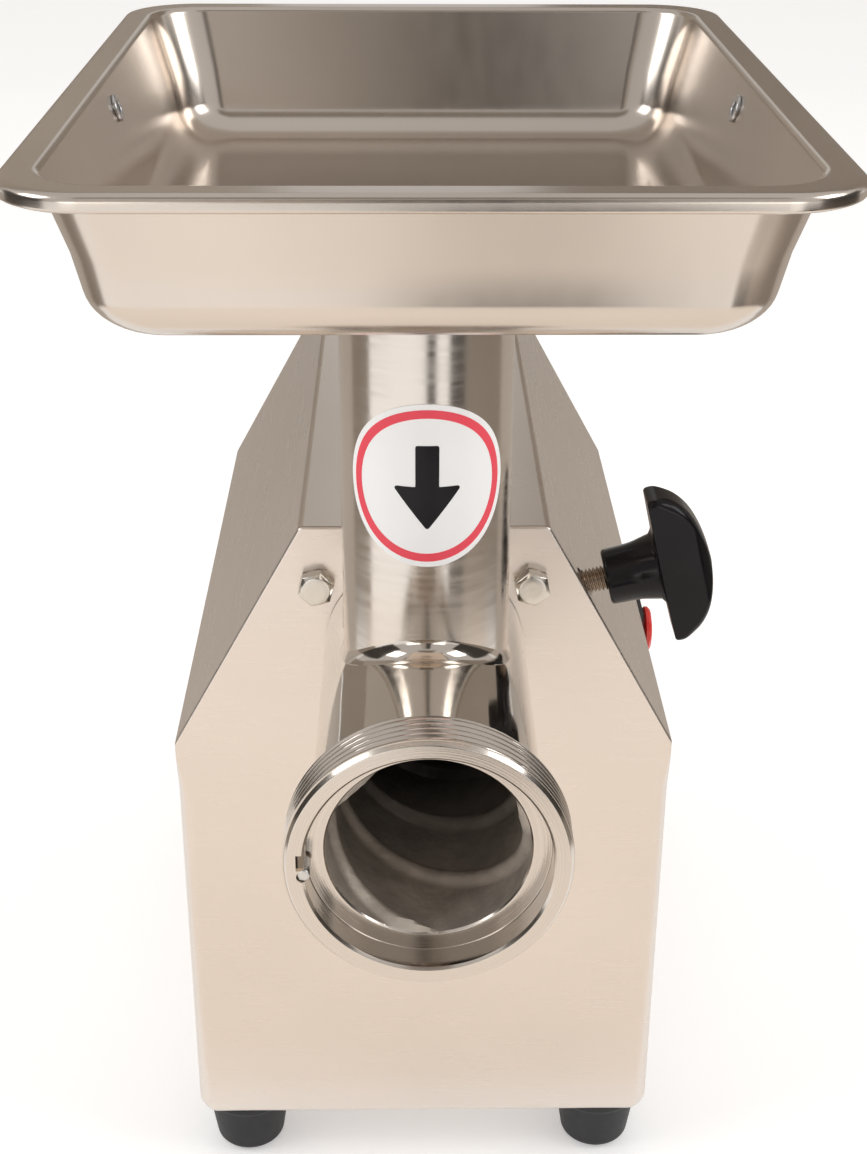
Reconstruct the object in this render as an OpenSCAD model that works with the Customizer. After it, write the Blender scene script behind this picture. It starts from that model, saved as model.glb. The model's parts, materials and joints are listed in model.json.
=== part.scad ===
// Electric meat grinder, size 22 head, on a sheet steel housing.
// X is to the right seen from the front, +Y runs to the back, Z is up. The origin is on the
// surface that the feet stand on, under the middle of the whole machine.
// Lengths along Y inside the modules are measured from the outer face of the front panel.

/* [Housing] */
// Width of the sheet steel housing
body_w = 206; // [200:1:215]
// Length of the housing, front face to rear face
body_l = 316; // [316:1:340]
// Height of the lower edge of the housing above the table
foot_h = 30; // [24:1:40]
// Height of the shoulder, where the side turns into the slope
shoulder_z = 230; // [222:1:234]
// Height of the flat top of the housing
top_z = 328; // [326:1:340]
// Width of the flat top
top_w = 98; // [92:1:110]
// Thickness of the sheet steel
sheet = 1.5; // [1:0.1:2]
// Distance of each foot centre from the nearest housing sides
foot_inset = 21; // [20:1:30]
// Radius of a foot where it meets the housing
foot_r = 20; // [16:1:20]

/* [Head] */
// Height of the barrel axis, which is also the output shaft axis
axis_z = 275.5; // [275:0.5:278]
// Distance from the front panel to the mouth face
mouth_reach = 152; // [145:1:165]
// Outer radius of the mouth thread
mouth_r = 48.25; // [47:0.25:50]
// Length of the threaded collar
collar_l = 18; // [15:0.5:20]
// Radius of the recess that the cutting plate sits in
plate_r = 41.25; // [41:0.05:41.5]
// Depth of the plate recess
plate_depth = 10.5; // [8:0.5:12]
// Outer radius of the barrel
barrel_r = 40; // [39:0.5:41]
// Radius of the barrel bore
bore_r = 34.5; // [33:0.5:35]
// Radius of the spigot that plugs into the gearbox
spigot_r = 30; // [29.5:0.1:30.5]
// Length of the spigot
spigot_l = 42; // [38:1:42]
// Radius of the journal bore that carries the tail of an auger
journal_r = 16; // [14:0.5:17]
// Outer radius of the feed tube
tube_r = 30.25; // [30:0.05:30.5]
// Distance of the feed tube axis in front of the panel
tube_y = 50; // [45:1:56]

/* [Tray] */
// Width of the tray over its rim
tray_w = 227; // [220:1:240]
// Length of the tray over its rim
tray_l = 296; // [280:1:320]
// Height of the rim above the table
rim_z = 510; // [500:1:530]
// Depth of the tray, rim to underside
tray_h = 47; // [42:1:55]
// Width of the flat rim
rim_w = 11.3; // [9:0.1:14]
// Slope of the tray walls from upright, in degrees
draft = 12; // [8:1:15]

/* [Clamp] */
// Angle of the clamp screw above the horizontal
clamp_tilt = 14; // [8:1:15]
// Distance of the clamp screw behind the front face
clamp_y = 8.5; // [8:0.5:10]
// Distance of the wing from the housing along the screw, with the screw tight
clamp_gap = 8.6; // [8:0.1:12]
// Length of the knob's wing
wing_l = 63; // [50:1:64]
// Thickness of the knob's wing
wing_t = 18; // [14:1:20]

/* [Gears] */
// Module of the motor pinion and the gear that it drives
module_1 = 1.5; // [1.5:0.05:1.55]
// Module of the output pair
module_2 = 2; // [1.95:0.05:2]
// Pressure angle of all the teeth
pressure = 25; // [23:1:25]
// Play between teeth, measured on the pitch circle
backlash = 0.24; // [0.2:0.02:0.4]

/* [Controls] */
// Distance of the switch plate's middle behind the front face
switch_y = 158; // [150:1:166]
// Height of the push buttons
switch_z = 207; // [200:1:209]
// Distance between the two buttons
button_pitch = 30; // [28:1:32]
// Travel of both buttons
button_travel = 2.5; // [2:0.5:3]

/* [Hidden] */
$fn = 48;

// How far the cable gland stands out behind the rear panel
gland_out = 12;
// Outer face of the front panel, placed so that the whole machine is centred on the origin
panel_y = -(body_l + gland_out - tube_y - tray_l / 2) / 2;
// A small length that carries cuts past the faces they open
over = 0.5;
// Gap between curved faces that only touch
touch = 0.02;
// Clearance of parts that slide or turn in each other
run = 0.05;

// Slope of the housing between shoulder and top
slope_dx = (body_w - top_w) / 2;
slope_dz = top_z - shoulder_z;
slope_l = sqrt(slope_dx * slope_dx + slope_dz * slope_dz);
slope_nx = slope_dz / slope_l;
slope_nz = slope_dx / slope_l;

// Gear train: tooth counts, pitch radii and axis heights, from the output down to the motor
teeth_motor = 14;
teeth_lay_gear = 42;
teeth_lay_pinion = 16;
teeth_output = 40;
lay_z = axis_z - module_2 * (teeth_lay_pinion + teeth_output) / 2;
motor_z = lay_z - module_1 * (teeth_motor + teeth_lay_gear) / 2;

// Stations along Y, behind the front face
socket_end = spigot_l + 1.5;
wall_front = 46;
cavity_front = 68;
gear_2_y = 70;
gear_2_w = 22;
gear_1_y = 97;
gear_1_w = 15;
cavity_back = 116;
cover_back = 130;
stack_front = 160;
stack_back = 235;

// Gearbox casing
case_r = 49;
case_half = 43;
case_wall = 4;
case_floor = motor_z - 34.5;
flange_r = 46;
bolt_circle = 50.8;
bolt_angles = [33, 147, 270];
bolt_r = 4;
bolt_depth = 20;

// Shafts and bearings
drive_r = 15;
rear_journal_r = 10;
front_bearing_r = 31;
rear_bearing_r = 21;
lay_journal_r = 8.5;
small_bearing_r = 20;
small_bearing_w = 12;
drive_socket = 15;
drive_socket_l = 20;

// Motor
stator_r = 70;
rotor_r = 38;
shaft_r = 8.5;
bell_wall = 4;
tie_r = 2.5;
tie_circle = 74.7;

// Clamp screw: the point where its axis leaves the sloping side
clamp_x = body_w / 2 - slope_dx * 0.713;
clamp_z = shoulder_z + slope_dz * 0.713;
stud_r = 5;
stud_tip_r = 3;
pad_r = 4.5;
pad_l = 4;
stud_in_knob = 20;
knob_collar_l = 21;
knob_collar_r = 11.4;
wing_depth = 21.3;
wing_r = (wing_l * wing_l / 4 + wing_depth * wing_depth) / (2 * wing_depth);

// Seat for the clamp pad: the flat on the spigot, and its distance from the barrel axis
flat_dist = 24.5;
pad_gap = 0.3;
// The stud is slim from here inwards, so that it passes the flange bolt
stud_step = -15.5;
pad_tip = flat_dist + pad_gap - (clamp_x * cos(clamp_tilt) + (clamp_z - axis_z) * sin(clamp_tilt));

// Tray, from its wall slope
tray_sheet = 1.2;
tray_z = rim_z - tray_h;
bend_r = 16;
wall_lean = tan(draft);
spout_r = tube_r - 1.5 - 0.3;
spout_wall = 1.2;
eyelet_drop = 10;

// ---------- helpers ----------

module from_panel() translate([0, panel_y, 0]) children();

// Round bar along Y
module bar_y(r, y0, y1, x = 0, z = 0)
    translate([x, y0, z]) rotate([-90, 0, 0]) cylinder(r = r, h = y1 - y0);

// Round bar along X
module bar_x(r, x0, x1, y = 0, z = 0)
    translate([x0, y, z]) rotate([0, 90, 0]) cylinder(r = r, h = x1 - x0);

// An outline in X and Z, drawn out along Y
module sweep_y(y0, y1)
    translate([0, y1, 0]) rotate([90, 0, 0]) linear_extrude(y1 - y0) children();

// A radius and Y outline, turned about an axis along Y
module turn_y(points, z = axis_z)
    translate([0, 0, z]) rotate([-90, 0, 0]) rotate_extrude() polygon(points);

// Ring along Y
module ring_y(r_out, r_in, y0, y1, z = axis_z)
    difference() {
        bar_y(r_out, y0, y1, 0, z);
        bar_y(r_in, y0 - over, y1 + over, 0, z);
    }

// Frame of the clamp screw: X runs outwards along the screw
module on_clamp_axis()
    translate([clamp_x, panel_y + clamp_y, clamp_z]) rotate([0, -clamp_tilt, 0]) children();

// Housing outline, moved inwards by inset, from the height floor_z up
module housing_outline(inset = 0, floor_z = foot_h) {
    x_side = body_w / 2 - inset;
    z_side = shoulder_z - inset * (1 - slope_nx) / slope_nz;
    x_top = top_w / 2 - inset * (1 - slope_nz) / slope_nx;
    z_top = top_z - inset;
    polygon([
        [-x_side, floor_z], [x_side, floor_z], [x_side, z_side],
        [x_top, z_top], [-x_top, z_top], [-x_side, z_side]
    ]);
}

// Slot with round ends along X, as a cutter through a sheet at the height z
module slot_z(x, y, length, width, z)
    translate([x, y, z - over]) linear_extrude(sheet + 2 * over)
        union() {
            square([length - width, width], center = true);
            for (side = [-1, 1])
                translate([side * (length - width) / 2, 0]) circle(d = width * 0.998);
        }

// Slot with round ends along X, as a cutter through an upright sheet at the distance y
module slot_y(x, z, length, width, y)
    sweep_y(y - over, y + sheet + over)
        translate([x, z]) union() {
            square([length - width, width], center = true);
            for (side = [-1, 1])
                translate([side * (length - width) / 2, 0]) circle(d = width * 0.998);
        }

foot_x = body_w / 2 - foot_inset;
foot_ys = [foot_inset + 1, body_l - foot_inset - 1];
module at_feet()
    for (side = [-1, 1], y = foot_ys) translate([side * foot_x, y, 0]) children();

// Flange behind the rear panel, and the screws in it: distance from the middle and height
rear_lip = 12;
rear_screws = [[body_w / 2 - 8, 45], [body_w / 2 - 8, 215], [top_w / 2 - 12, top_z - 8]];
module at_rear_screws()
    for (side = [-1, 1], p = rear_screws) translate([side * p[0], 0, p[1]]) children();

// Ring turned in at the bottom of the housing, and the base plate that lies on it
side_lip = 42;
end_lip = 14;
base_lap = 9;
deck_z = foot_h + 2 * sheet;
base_screw_ys = [70, 158, 246];
module at_base_screws()
    for (side = [-1, 1], y = base_screw_ys)
        translate([side * (body_w / 2 - side_lip + base_lap / 2), y, 0]) children();

// ---------- housing ----------

module housing_shell() color("#c9beb0") from_panel() difference() {
    union() {
        sweep_y(0, body_l) difference() {
            housing_outline();
            housing_outline(sheet, foot_h + sheet);
            translate([-body_w / 2 + side_lip, foot_h - over])
                square([body_w - 2 * side_lip, 3 * sheet]);
        }
        for (y = [0, body_l - end_lip])
            translate([-body_w / 2 + sheet, y, foot_h]) cube([body_w - 2 * sheet, end_lip, sheet]);
        sweep_y(body_l - 2 * sheet, body_l - sheet) difference() {
            housing_outline(sheet / 2, foot_h + sheet / 2);
            housing_outline(sheet + rear_lip, foot_h + rear_lip);
        }
    }
    translate([clamp_x, clamp_y, clamp_z]) rotate([0, -clamp_tilt, 0]) bar_x(6.3, -8, 8);
    translate([body_w / 2 - 5, switch_y - 31, switch_z - 16]) cube([10, 62, 32]);
    at_rear_screws() bar_y(2 + run, body_l - 4, body_l);
    at_base_screws() translate([0, 0, foot_h - 1]) cylinder(r = 2 + run, h = 5);
    at_feet() translate([0, 0, foot_h - 1]) cylinder(r = 3.2, h = 4);
}

module front_panel() color("#cdc2b4") from_panel() difference() {
    sweep_y(0, sheet) housing_outline(sheet + touch, foot_h + sheet + touch);
    bar_y(spigot_r + 1, -1, 3, 0, axis_z);
    at_flange_bolts() bar_y(bolt_r + 0.5, -1, 3);
}

module rear_panel() color("#c6bbad") from_panel() difference() {
    sweep_y(body_l - sheet, body_l) housing_outline(sheet + touch, foot_h + sheet + touch);
    for (column = [-1, 1], row = [0:6])
        slot_y(column * 34, 150 + row * 14, 46, 5, body_l - sheet);
    at_rear_screws() bar_y(2 + run, body_l - 3, body_l + 1);
    bar_y(8.1, body_l - 3, body_l + 1, gland_x, gland_z);
}

module rear_panel_screws() color("#b9b4ab") from_panel() at_rear_screws() {
    bar_y(2, body_l - 10, body_l);
    difference() {
        bar_y(3.8, body_l, body_l + 2.4);
        for (turn = [0, 90]) translate([0, body_l + 2.4, 0]) rotate([0, turn, 0])
            cube([4.4, 2.4, 0.9], center = true);
    }
}

module base_plate() color("#bdb3a6") from_panel() difference() {
    translate([side_lip - base_lap - body_w / 2, end_lip - base_lap, foot_h + sheet])
        cube([
            body_w - 2 * (side_lip - base_lap), body_l - 2 * (end_lip - base_lap), sheet
        ]);
    for (column = [-1, 1], row = [0:5])
        slot_z(column * 27, 110 + row * 12, 40, 5, foot_h + sheet);
    at_base_screws() translate([0, 0, foot_h]) cylinder(r = 2 + run, h = 4);
}

module base_screws() color("#b9b4ab") from_panel() at_base_screws() {
    translate([0, 0, foot_h]) cylinder(r = 2, h = 8);
    translate([0, 0, foot_h - 2]) cylinder(r = 3.8, h = 2);
}

// Tapered rubber foot with a round lower edge and a well for its screw
module feet() color("#2b2b2d") from_panel() at_feet()
    rotate_extrude() difference() {
        union() {
            polygon([
                [3.2, 0], [foot_r - 8, 0], [foot_r - 8, 4], [foot_r - 4, 4],
                [foot_r - 1.2, foot_h - 5], [foot_r, foot_h - 3], [foot_r, foot_h], [3.2, foot_h]
            ]);
            translate([foot_r - 8.02, 4]) circle(r = 4);
        }
        translate([-20, -10]) square([20 + 3.2, 60]);
        translate([0, -1]) square([7, 12]);
    }

module foot_screws() color("#b9b4ab") from_panel() at_feet() {
    translate([0, 0, 6.5]) cylinder(r = 5, h = 4.5);
    translate([0, 0, 11]) cylinder(r = 3, h = foot_h + 8 - 11);
    difference() {
        translate([0, 0, foot_h + sheet]) cylinder(d = 11.5, h = 5, $fn = 6);
        translate([0, 0, foot_h]) cylinder(r = 3 + touch, h = 10);
    }
}

// ---------- gearbox ----------

module at_flange_bolts()
    for (a = bolt_angles)
        translate([bolt_circle * cos(a), 0, axis_z + bolt_circle * sin(a)]) children();

// Keyhole outline of the gearbox, moved inwards by inset
module case_outline(inset = 0) {
    translate([0, axis_z]) circle(r = case_r - inset);
    translate([-case_half + inset, case_floor + inset])
        square([2 * (case_half - inset), axis_z - case_floor - inset]);
}

// Heights of the cover screws, from the output shaft's axis
cover_screw_drops = [-7.5, -62, -128];
module at_cover_screws()
    for (side = [-1, 1], drop = cover_screw_drops)
        translate([side * (case_half - 2), 0, axis_z + drop]) children();

module gearbox_case() color("#8d9093") from_panel() difference() {
    union() {
        bar_y(spigot_r + 10, sheet, wall_front + 1, 0, axis_z);
        bar_y(flange_r, sheet, 12, 0, axis_z);
        at_flange_bolts() bar_y(10, sheet, 24);
        sweep_y(wall_front, cavity_back) case_outline();
        at_cover_screws() bar_y(5, cavity_back - 22, cavity_back);
        intersection() {
            translate([clamp_x, clamp_y, clamp_z]) rotate([0, -clamp_tilt, 0])
                bar_x(8.5, -38, -13);
            translate([0, sheet, axis_z - 60]) cube([100, 30, 120]);
        }
    }
    sweep_y(cavity_front, cavity_back + over) case_outline(case_wall);
    bar_y(spigot_r + run, 0, socket_end, 0, axis_z);
    bar_y(22 + touch, socket_end - over, 51.5, 0, axis_z);
    bar_y(front_bearing_r + touch, 52, cavity_front + over, 0, axis_z);
    bar_y(drive_r + 1, 45, 60, 0, axis_z);
    bar_y(small_bearing_r + touch, cavity_front - small_bearing_w, cavity_front + over, 0, lay_z);
    at_flange_bolts() bar_y(bolt_r + run, 0, bolt_depth + 2);
    at_cover_screws() bar_y(2.5 + run, cavity_back - 16, cavity_back + over);
    translate([clamp_x, clamp_y, clamp_z]) rotate([0, -clamp_tilt, 0]) {
        bar_x(stud_r + run, stud_step - 0.5, 0);
        bar_x(stud_r + run, pad_tip - 3, pad_tip + 11);
        bar_x(stud_tip_r + 0.4, pad_tip, stud_step);
    }
}

module gearbox_cover() color("#85888b") from_panel() difference() {
    union() {
        sweep_y(cavity_back, cover_back) case_outline();
        at_cover_screws() bar_y(5, cavity_back, cover_back);
    }
    bar_y(rear_bearing_r + touch, cavity_back - over, cavity_back + 12, 0, axis_z);
    bar_y(small_bearing_r + touch, cavity_back - over, cavity_back + 12, 0, lay_z);
    bar_y(shaft_r + 3, cavity_back - over, cover_back + over, 0, motor_z);
    at_cover_screws() bar_y(2.5 + run, cavity_back - over, cover_back + over);
}

module cover_screws() color("#6f7275") from_panel() at_cover_screws() {
    bar_y(2.5, cavity_back - 12, cover_back);
    difference() {
        bar_y(4.2, cover_back, cover_back + 5);
        translate([0, cover_back + 2, 0]) rotate([-90, 0, 0]) cylinder(d = 4.6, h = 4, $fn = 6);
    }
}

module flange_bolts() color("#b8b2a8") from_panel() at_flange_bolts() {
    bar_y(bolt_r, -0.6, bolt_depth);
    bar_y(6.2, -0.6, 0);
    intersection() {
        translate([0, -6, 0]) rotate([-90, 0, 0]) cylinder(d = 13 / cos(30), h = 5.4, $fn = 6);
        translate([0, -6, 0]) rotate([-90, 0, 0]) cylinder(r1 = 6.4, r2 = 15.4, h = 9);
    }
}

// Ball bearing as one ring
module bearing(r_out, r_in, y0, width, z)
    ring_y(r_out, r_in + run, y0, y0 + width, z);

module output_front_bearing() color("#9aa0a6") from_panel()
    bearing(front_bearing_r, drive_r, 52, 16, axis_z);

module output_rear_bearing() color("#9aa0a6") from_panel()
    bearing(rear_bearing_r, rear_journal_r, cavity_back, 12, axis_z);

module output_seal() color("#222222") from_panel()
    ring_y(22, drive_r + run, socket_end + 1, 51, axis_z);

module layshaft_bearings() color("#9aa0a6") from_panel() {
    bearing(small_bearing_r, lay_journal_r, cavity_front - 12, 12, lay_z);
    bearing(small_bearing_r, lay_journal_r, cavity_back, 12, lay_z);
}

module output_shaft() color("#a7adb3") from_panel() difference() {
    turn_y([
        [0, spigot_l + 1], [drive_r - 1, spigot_l + 1], [drive_r, spigot_l + 2],
        [drive_r, cavity_front + 1], [16, cavity_front + 1], [16, gear_2_y + gear_2_w + 3],
        [14, gear_2_y + gear_2_w + 3], [14, cavity_back - 0.5],
        [rear_journal_r, cavity_back - 0.5], [rear_journal_r, cavity_back + 11.5],
        [0, cavity_back + 11.5]
    ]);
    translate([-drive_socket / 2, spigot_l, axis_z - drive_socket / 2])
        cube([drive_socket, drive_socket_l + 1, drive_socket]);
}

// ---------- gear teeth ----------

function inv(a) = tan(a) * 180 / PI - a;

// Half the tooth's angle at the radius r, in degrees
function half_tooth(r, m, teeth) =
    let (
        pitch_r = m * teeth / 2,
        base_r = pitch_r * cos(pressure),
        at_pitch = (PI * m / 2 - backlash / 2) / (2 * pitch_r) * 180 / PI
    ) at_pitch + inv(pressure) - inv(acos(min(1, base_r / max(r, base_r))));

function polar(r, a) = [r * cos(a), r * sin(a)];

// Tooth outline points about the tooth's middle angle
function tooth(m, teeth, middle) =
    let (
        pitch_r = m * teeth / 2,
        root_r = pitch_r - 1.25 * m,
        tip_r = pitch_r + 0.95 * m,
        base_r = max(pitch_r * cos(pressure), root_r + 0.1),
        radii = [for (i = [0:3]) base_r + (tip_r - base_r) * i / 3]
    ) concat(
        [polar(root_r, middle - half_tooth(base_r, m, teeth))],
        [for (r = radii) polar(r, middle - half_tooth(r, m, teeth))],
        [for (i = [3:-1:0]) polar(radii[i], middle + half_tooth(radii[i], m, teeth))],
        [polar(root_r, middle + half_tooth(base_r, m, teeth))]
    );

// Spur gear with a tooth's middle at the angle start
module spur_gear(m, teeth, bore_r, y0, width, z, start)
    difference() {
        sweep_y(y0, y0 + width) translate([0, z]) polygon([
            for (i = [0:teeth - 1]) each tooth(m, teeth, start + i * 360 / teeth)
        ]);
        bar_y(bore_r, y0 - over, y0 + width + over, 0, z);
    }

module output_gear() color("#7d8288") from_panel() difference() {
    spur_gear(module_2, teeth_output, 16 + touch, gear_2_y, gear_2_w, axis_z,
        270 + 180 / teeth_output);
    for (a = [30:60:330])
        bar_y(6, gear_2_y - over, gear_2_y + gear_2_w + over, 27 * cos(a), axis_z + 27 * sin(a));
}

module layshaft() color("#a7adb3") from_panel() turn_y([
    [0, cavity_front - 11.5], [lay_journal_r, cavity_front - 11.5],
    [lay_journal_r, cavity_front + 0.5], [10, cavity_front + 0.5],
    [10, cavity_back - 0.5], [lay_journal_r, cavity_back - 0.5],
    [lay_journal_r, cavity_back + 11.5], [0, cavity_back + 11.5]
], lay_z);

module layshaft_pinion() color("#7d8288") from_panel()
    spur_gear(module_2, teeth_lay_pinion, 10 + touch, gear_2_y, gear_2_w, lay_z, 90);

module layshaft_gear() color("#7d8288") from_panel() difference() {
    spur_gear(module_1, teeth_lay_gear, 10 + touch, gear_1_y, gear_1_w, lay_z,
        270 + 180 / teeth_lay_gear);
    for (a = [0:60:300])
        bar_y(5, gear_1_y - over, gear_1_y + gear_1_w + over, 20 * cos(a), lay_z + 20 * sin(a));
}

// ---------- motor ----------

module motor_pinion() color("#7d8288") from_panel()
    spur_gear(module_1, teeth_motor, 6 + touch, gear_1_y, gear_1_w, motor_z, 90);

module rotor_shaft() color("#a7adb3") from_panel() turn_y([
    [0, gear_1_y - 1], [6, gear_1_y - 1], [6, gear_1_y + gear_1_w + 1],
    [shaft_r, gear_1_y + gear_1_w + 1], [shaft_r, stack_back + 57], [0, stack_back + 57]
], motor_z);

module rotor_core() color("#6d7074") from_panel() turn_y([
    [shaft_r + touch, stack_front - 8], [34, stack_front - 8], [34, stack_front],
    [rotor_r, stack_front], [rotor_r, stack_back], [34, stack_back], [34, stack_back + 8],
    [shaft_r + touch, stack_back + 8]
], motor_z);

fan_y = stack_back + 41;
module cooling_fan() color("#3a3d40") from_panel() {
    turn_y([
        [shaft_r + touch, fan_y], [58, fan_y], [58, fan_y + 2], [14, fan_y + 2],
        [14, fan_y + 15], [shaft_r + touch, fan_y + 15]
    ], motor_z);
    for (a = [0:45:315])
        translate([0, fan_y, motor_z]) rotate([0, a, 0]) translate([12, 1, -1]) cube([44, 12, 2]);
}

module rotor_bearings() color("#9aa0a6") from_panel() {
    bearing(small_bearing_r, shaft_r, cover_back + 2, 12, motor_z);
    bearing(small_bearing_r, shaft_r, stack_back + 23, 12, motor_z);
}

module stator_core() color("#7a7c80") from_panel() difference() {
    ring_y(stator_r, rotor_r + 0.5, stack_front, stack_back, motor_z);
    for (a = [0:15:345])
        translate([0, stack_front - over, motor_z]) rotate([0, a, 0])
            translate([rotor_r - 1, 0, -1.2]) cube([20, stack_back - stack_front + 2 * over, 2.4]);
}

module stator_windings() color("#b46a3c") from_panel() {
    turn_y([[43, 144], [46, 141], [61, 141], [64, 144], [64, stack_front], [43, stack_front]],
        motor_z);
    turn_y([[43, stack_back], [64, stack_back], [64, 248], [61, 251], [46, 251], [43, 248]],
        motor_z);
}

module at_tie_rods()
    for (a = [45:90:315])
        translate([tie_circle * cos(a), 0, motor_z + tie_circle * sin(a)]) children();

module motor_front_bell() color("#9ea1a4") from_panel() difference() {
    union() {
        bar_y(stator_r, cover_back, stack_front, 0, motor_z);
        at_tie_rods() bar_y(6.5, cover_back + 6, cover_back + 16);
    }
    ring_y(stator_r - bell_wall, 25, cover_back + 6, stack_front + over, motor_z);
    bar_y(26, cover_back + 16, stack_front + over, 0, motor_z);
    bar_y(small_bearing_r + touch, cover_back + 2, cover_back + 17, 0, motor_z);
    bar_y(shaft_r + 2, cover_back - over, cover_back + 3, 0, motor_z);
    at_tie_rods() bar_y(tie_r + run, cover_back, cover_back + 17);
    at_cover_screws() bar_y(5, cover_back - over, cover_back + 5.4);
}

module motor_rear_bell() color("#9ea1a4") from_panel() difference() {
    union() {
        bar_y(stator_r, stack_back, stack_back + 28, 0, motor_z);
        bar_y(25, stack_back + 20, stack_back + 36, 0, motor_z);
        at_tie_rods() bar_y(6.5, stack_back + 12, stack_back + 22);
    }
    ring_y(stator_r - bell_wall, 25, stack_back - over, stack_back + 22, motor_z);
    bar_y(26, stack_back - over, stack_back + 17, 0, motor_z);
    bar_y(small_bearing_r + touch, stack_back + 16, stack_back + 35, 0, motor_z);
    bar_y(shaft_r + 2, stack_back + 30, stack_back + 37, 0, motor_z);
    at_tie_rods() bar_y(tie_r + run, stack_back + 11, stack_back + 23);
}

module motor_tie_rods() color("#b9b4ab") from_panel() at_tie_rods() {
    bar_y(tie_r, cover_back + 3, stack_back + 26);
    for (y = [cover_back + 2, stack_back + 22])
        difference() {
            translate([0, y, 0]) rotate([-90, 0, 0]) cylinder(d = 8.1, h = 4, $fn = 6);
            bar_y(tie_r + touch, y - 1, y + 5);
        }
}

module motor_cradle() color("#6b6e72") from_panel()
    for (y = [stack_front + 12, stack_back - 16]) difference() {
        union() {
            translate([-58, y, deck_z]) cube([116, 3, motor_z - foot_h - 37]);
            translate([-58, y, deck_z]) cube([116, 18, 3]);
        }
        bar_y(stator_r + touch, y - 1, y + 4, 0, motor_z);
        at_tie_rods() bar_y(tie_r + 0.5, y - 1, y + 4);
    }

// ---------- electrics ----------

capacitor_x = -52;
capacitor_z = 66;
module run_capacitor() color("#d8d8d4") from_panel() {
    bar_y(20, 40, 118, capacitor_x, capacitor_z);
    for (dx = [-7, 7]) translate([capacitor_x + dx - 0.4, 118, capacitor_z - 3]) cube([0.8, 9, 6]);
}

module capacitor_clip() color("#8b8e92") from_panel() difference() {
    union() {
        bar_y(22, 72, 84, capacitor_x, capacitor_z);
        translate([capacitor_x - 14, 72, deck_z]) cube([28, 12, 16]);
    }
    bar_y(20 + touch, 71, 85, capacitor_x, capacitor_z);
}

block_x = 16;
block_l = 48;
module terminal_block() color("#e8e4d8") from_panel() difference() {
    translate([block_x, 262, deck_z]) cube([block_l, 22, 18]);
    for (i = [0:3])
        translate([block_x + 6 + i * 12, 273, deck_z + 6]) cylinder(r = 3, h = 20);
}

// Loom from the terminal block up the side wall and along it to the switch
loom_r = 3;
loom_x = 86;
loom_z = deck_z + 9;
loom_top = 160;
module wiring_loom() color("#33363a") from_panel() {
    bar_x(loom_r, block_x + block_l + 0.5, loom_x, 273, loom_z);
    translate([loom_x, 273, loom_z]) sphere(loom_r);
    translate([loom_x, 273, loom_z]) cylinder(r = loom_r, h = loom_top - loom_z);
    translate([loom_x, 273, loom_top]) sphere(loom_r);
    bar_y(loom_r, switch_y + 20, 273, loom_x, loom_top);
    translate([loom_x, switch_y + 20, loom_top]) sphere(loom_r);
    translate([loom_x, switch_y + 20, loom_top])
        cylinder(r = loom_r, h = switch_z - 16.2 - loom_top);
}

gland_x = -60;
gland_z = 62;
module cable_gland() color("#26272a") from_panel() difference() {
    union() {
        bar_y(8, body_l - 12, body_l + 9, gland_x, gland_z);
        translate([gland_x, body_l, gland_z]) rotate([-90, 0, 0]) cylinder(d = 24, h = 5, $fn = 6);
        bar_y(9.5, body_l + 5 - touch, body_l + gland_out, gland_x, gland_z);
        translate([gland_x, body_l - 3 * sheet - 2, gland_z]) rotate([-90, 0, 0])
            cylinder(d = 24, h = 4 + sheet / 2, $fn = 6);
    }
    bar_y(4, body_l - 13, body_l + gland_out + 1, gland_x, gland_z);
}

red_y = switch_y - button_pitch / 2;
green_y = switch_y + button_pitch / 2;
side_x = body_w / 2;
module switch_plate() color("#1d1e20") from_panel() difference() {
    union() {
        translate([side_x, switch_y - 36, switch_z - 20]) cube([2, 72, 40]);
        translate([side_x + 2, switch_y - 34.8, switch_z - 18.8]) cube([1, 69.6, 37.6]);
        bar_x(12.6, side_x + 3 - touch, side_x + 5.5, green_y, switch_z);
        bar_x(8, side_x + 3 - touch, side_x + 3.4, red_y, switch_z);
    }
    bar_x(10.3, side_x - 1, side_x + 8, green_y, switch_z);
    bar_x(5.3, side_x - 1, side_x + 8, red_y, switch_z);
}

module switch_body() color("#2c2d30") from_panel() difference() {
    translate([side_x - 29.5, switch_y - 30, switch_z - 15.5]) cube([29.5, 60, 31]);
    bar_x(5.3, side_x - 15, side_x + 1, red_y, switch_z);
    bar_x(10.3, side_x - 11, side_x + 1, green_y, switch_z);
}

module stop_button() color("#d8231f") from_panel()
    translate([side_x, red_y, switch_z]) rotate([0, 90, 0]) rotate_extrude() polygon([
        [0, -10], [5, -10], [5, 3.4 + button_travel], [10.2, 3.4 + button_travel],
        [11, 4 + button_travel], [11, 5.4 + button_travel], [9.8, 6.6 + button_travel],
        [6.5, 7.2 + button_travel], [0, 7.4 + button_travel]
    ]);

module start_button() color("#2e9a4a") from_panel()
    translate([side_x, green_y, switch_z]) rotate([0, 90, 0]) rotate_extrude() polygon([
        [0, -6], [10, -6], [10, 6.2], [9.2, 7], [0, 7]
    ]);

// ---------- head ----------

// Back wall of the bore, and the pin that keys the cutting plate
bore_end = -14;
pin_r = 2.25;
pin_z = -3.6;
pin_end = plate_depth - 1.5 - mouth_reach;

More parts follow.
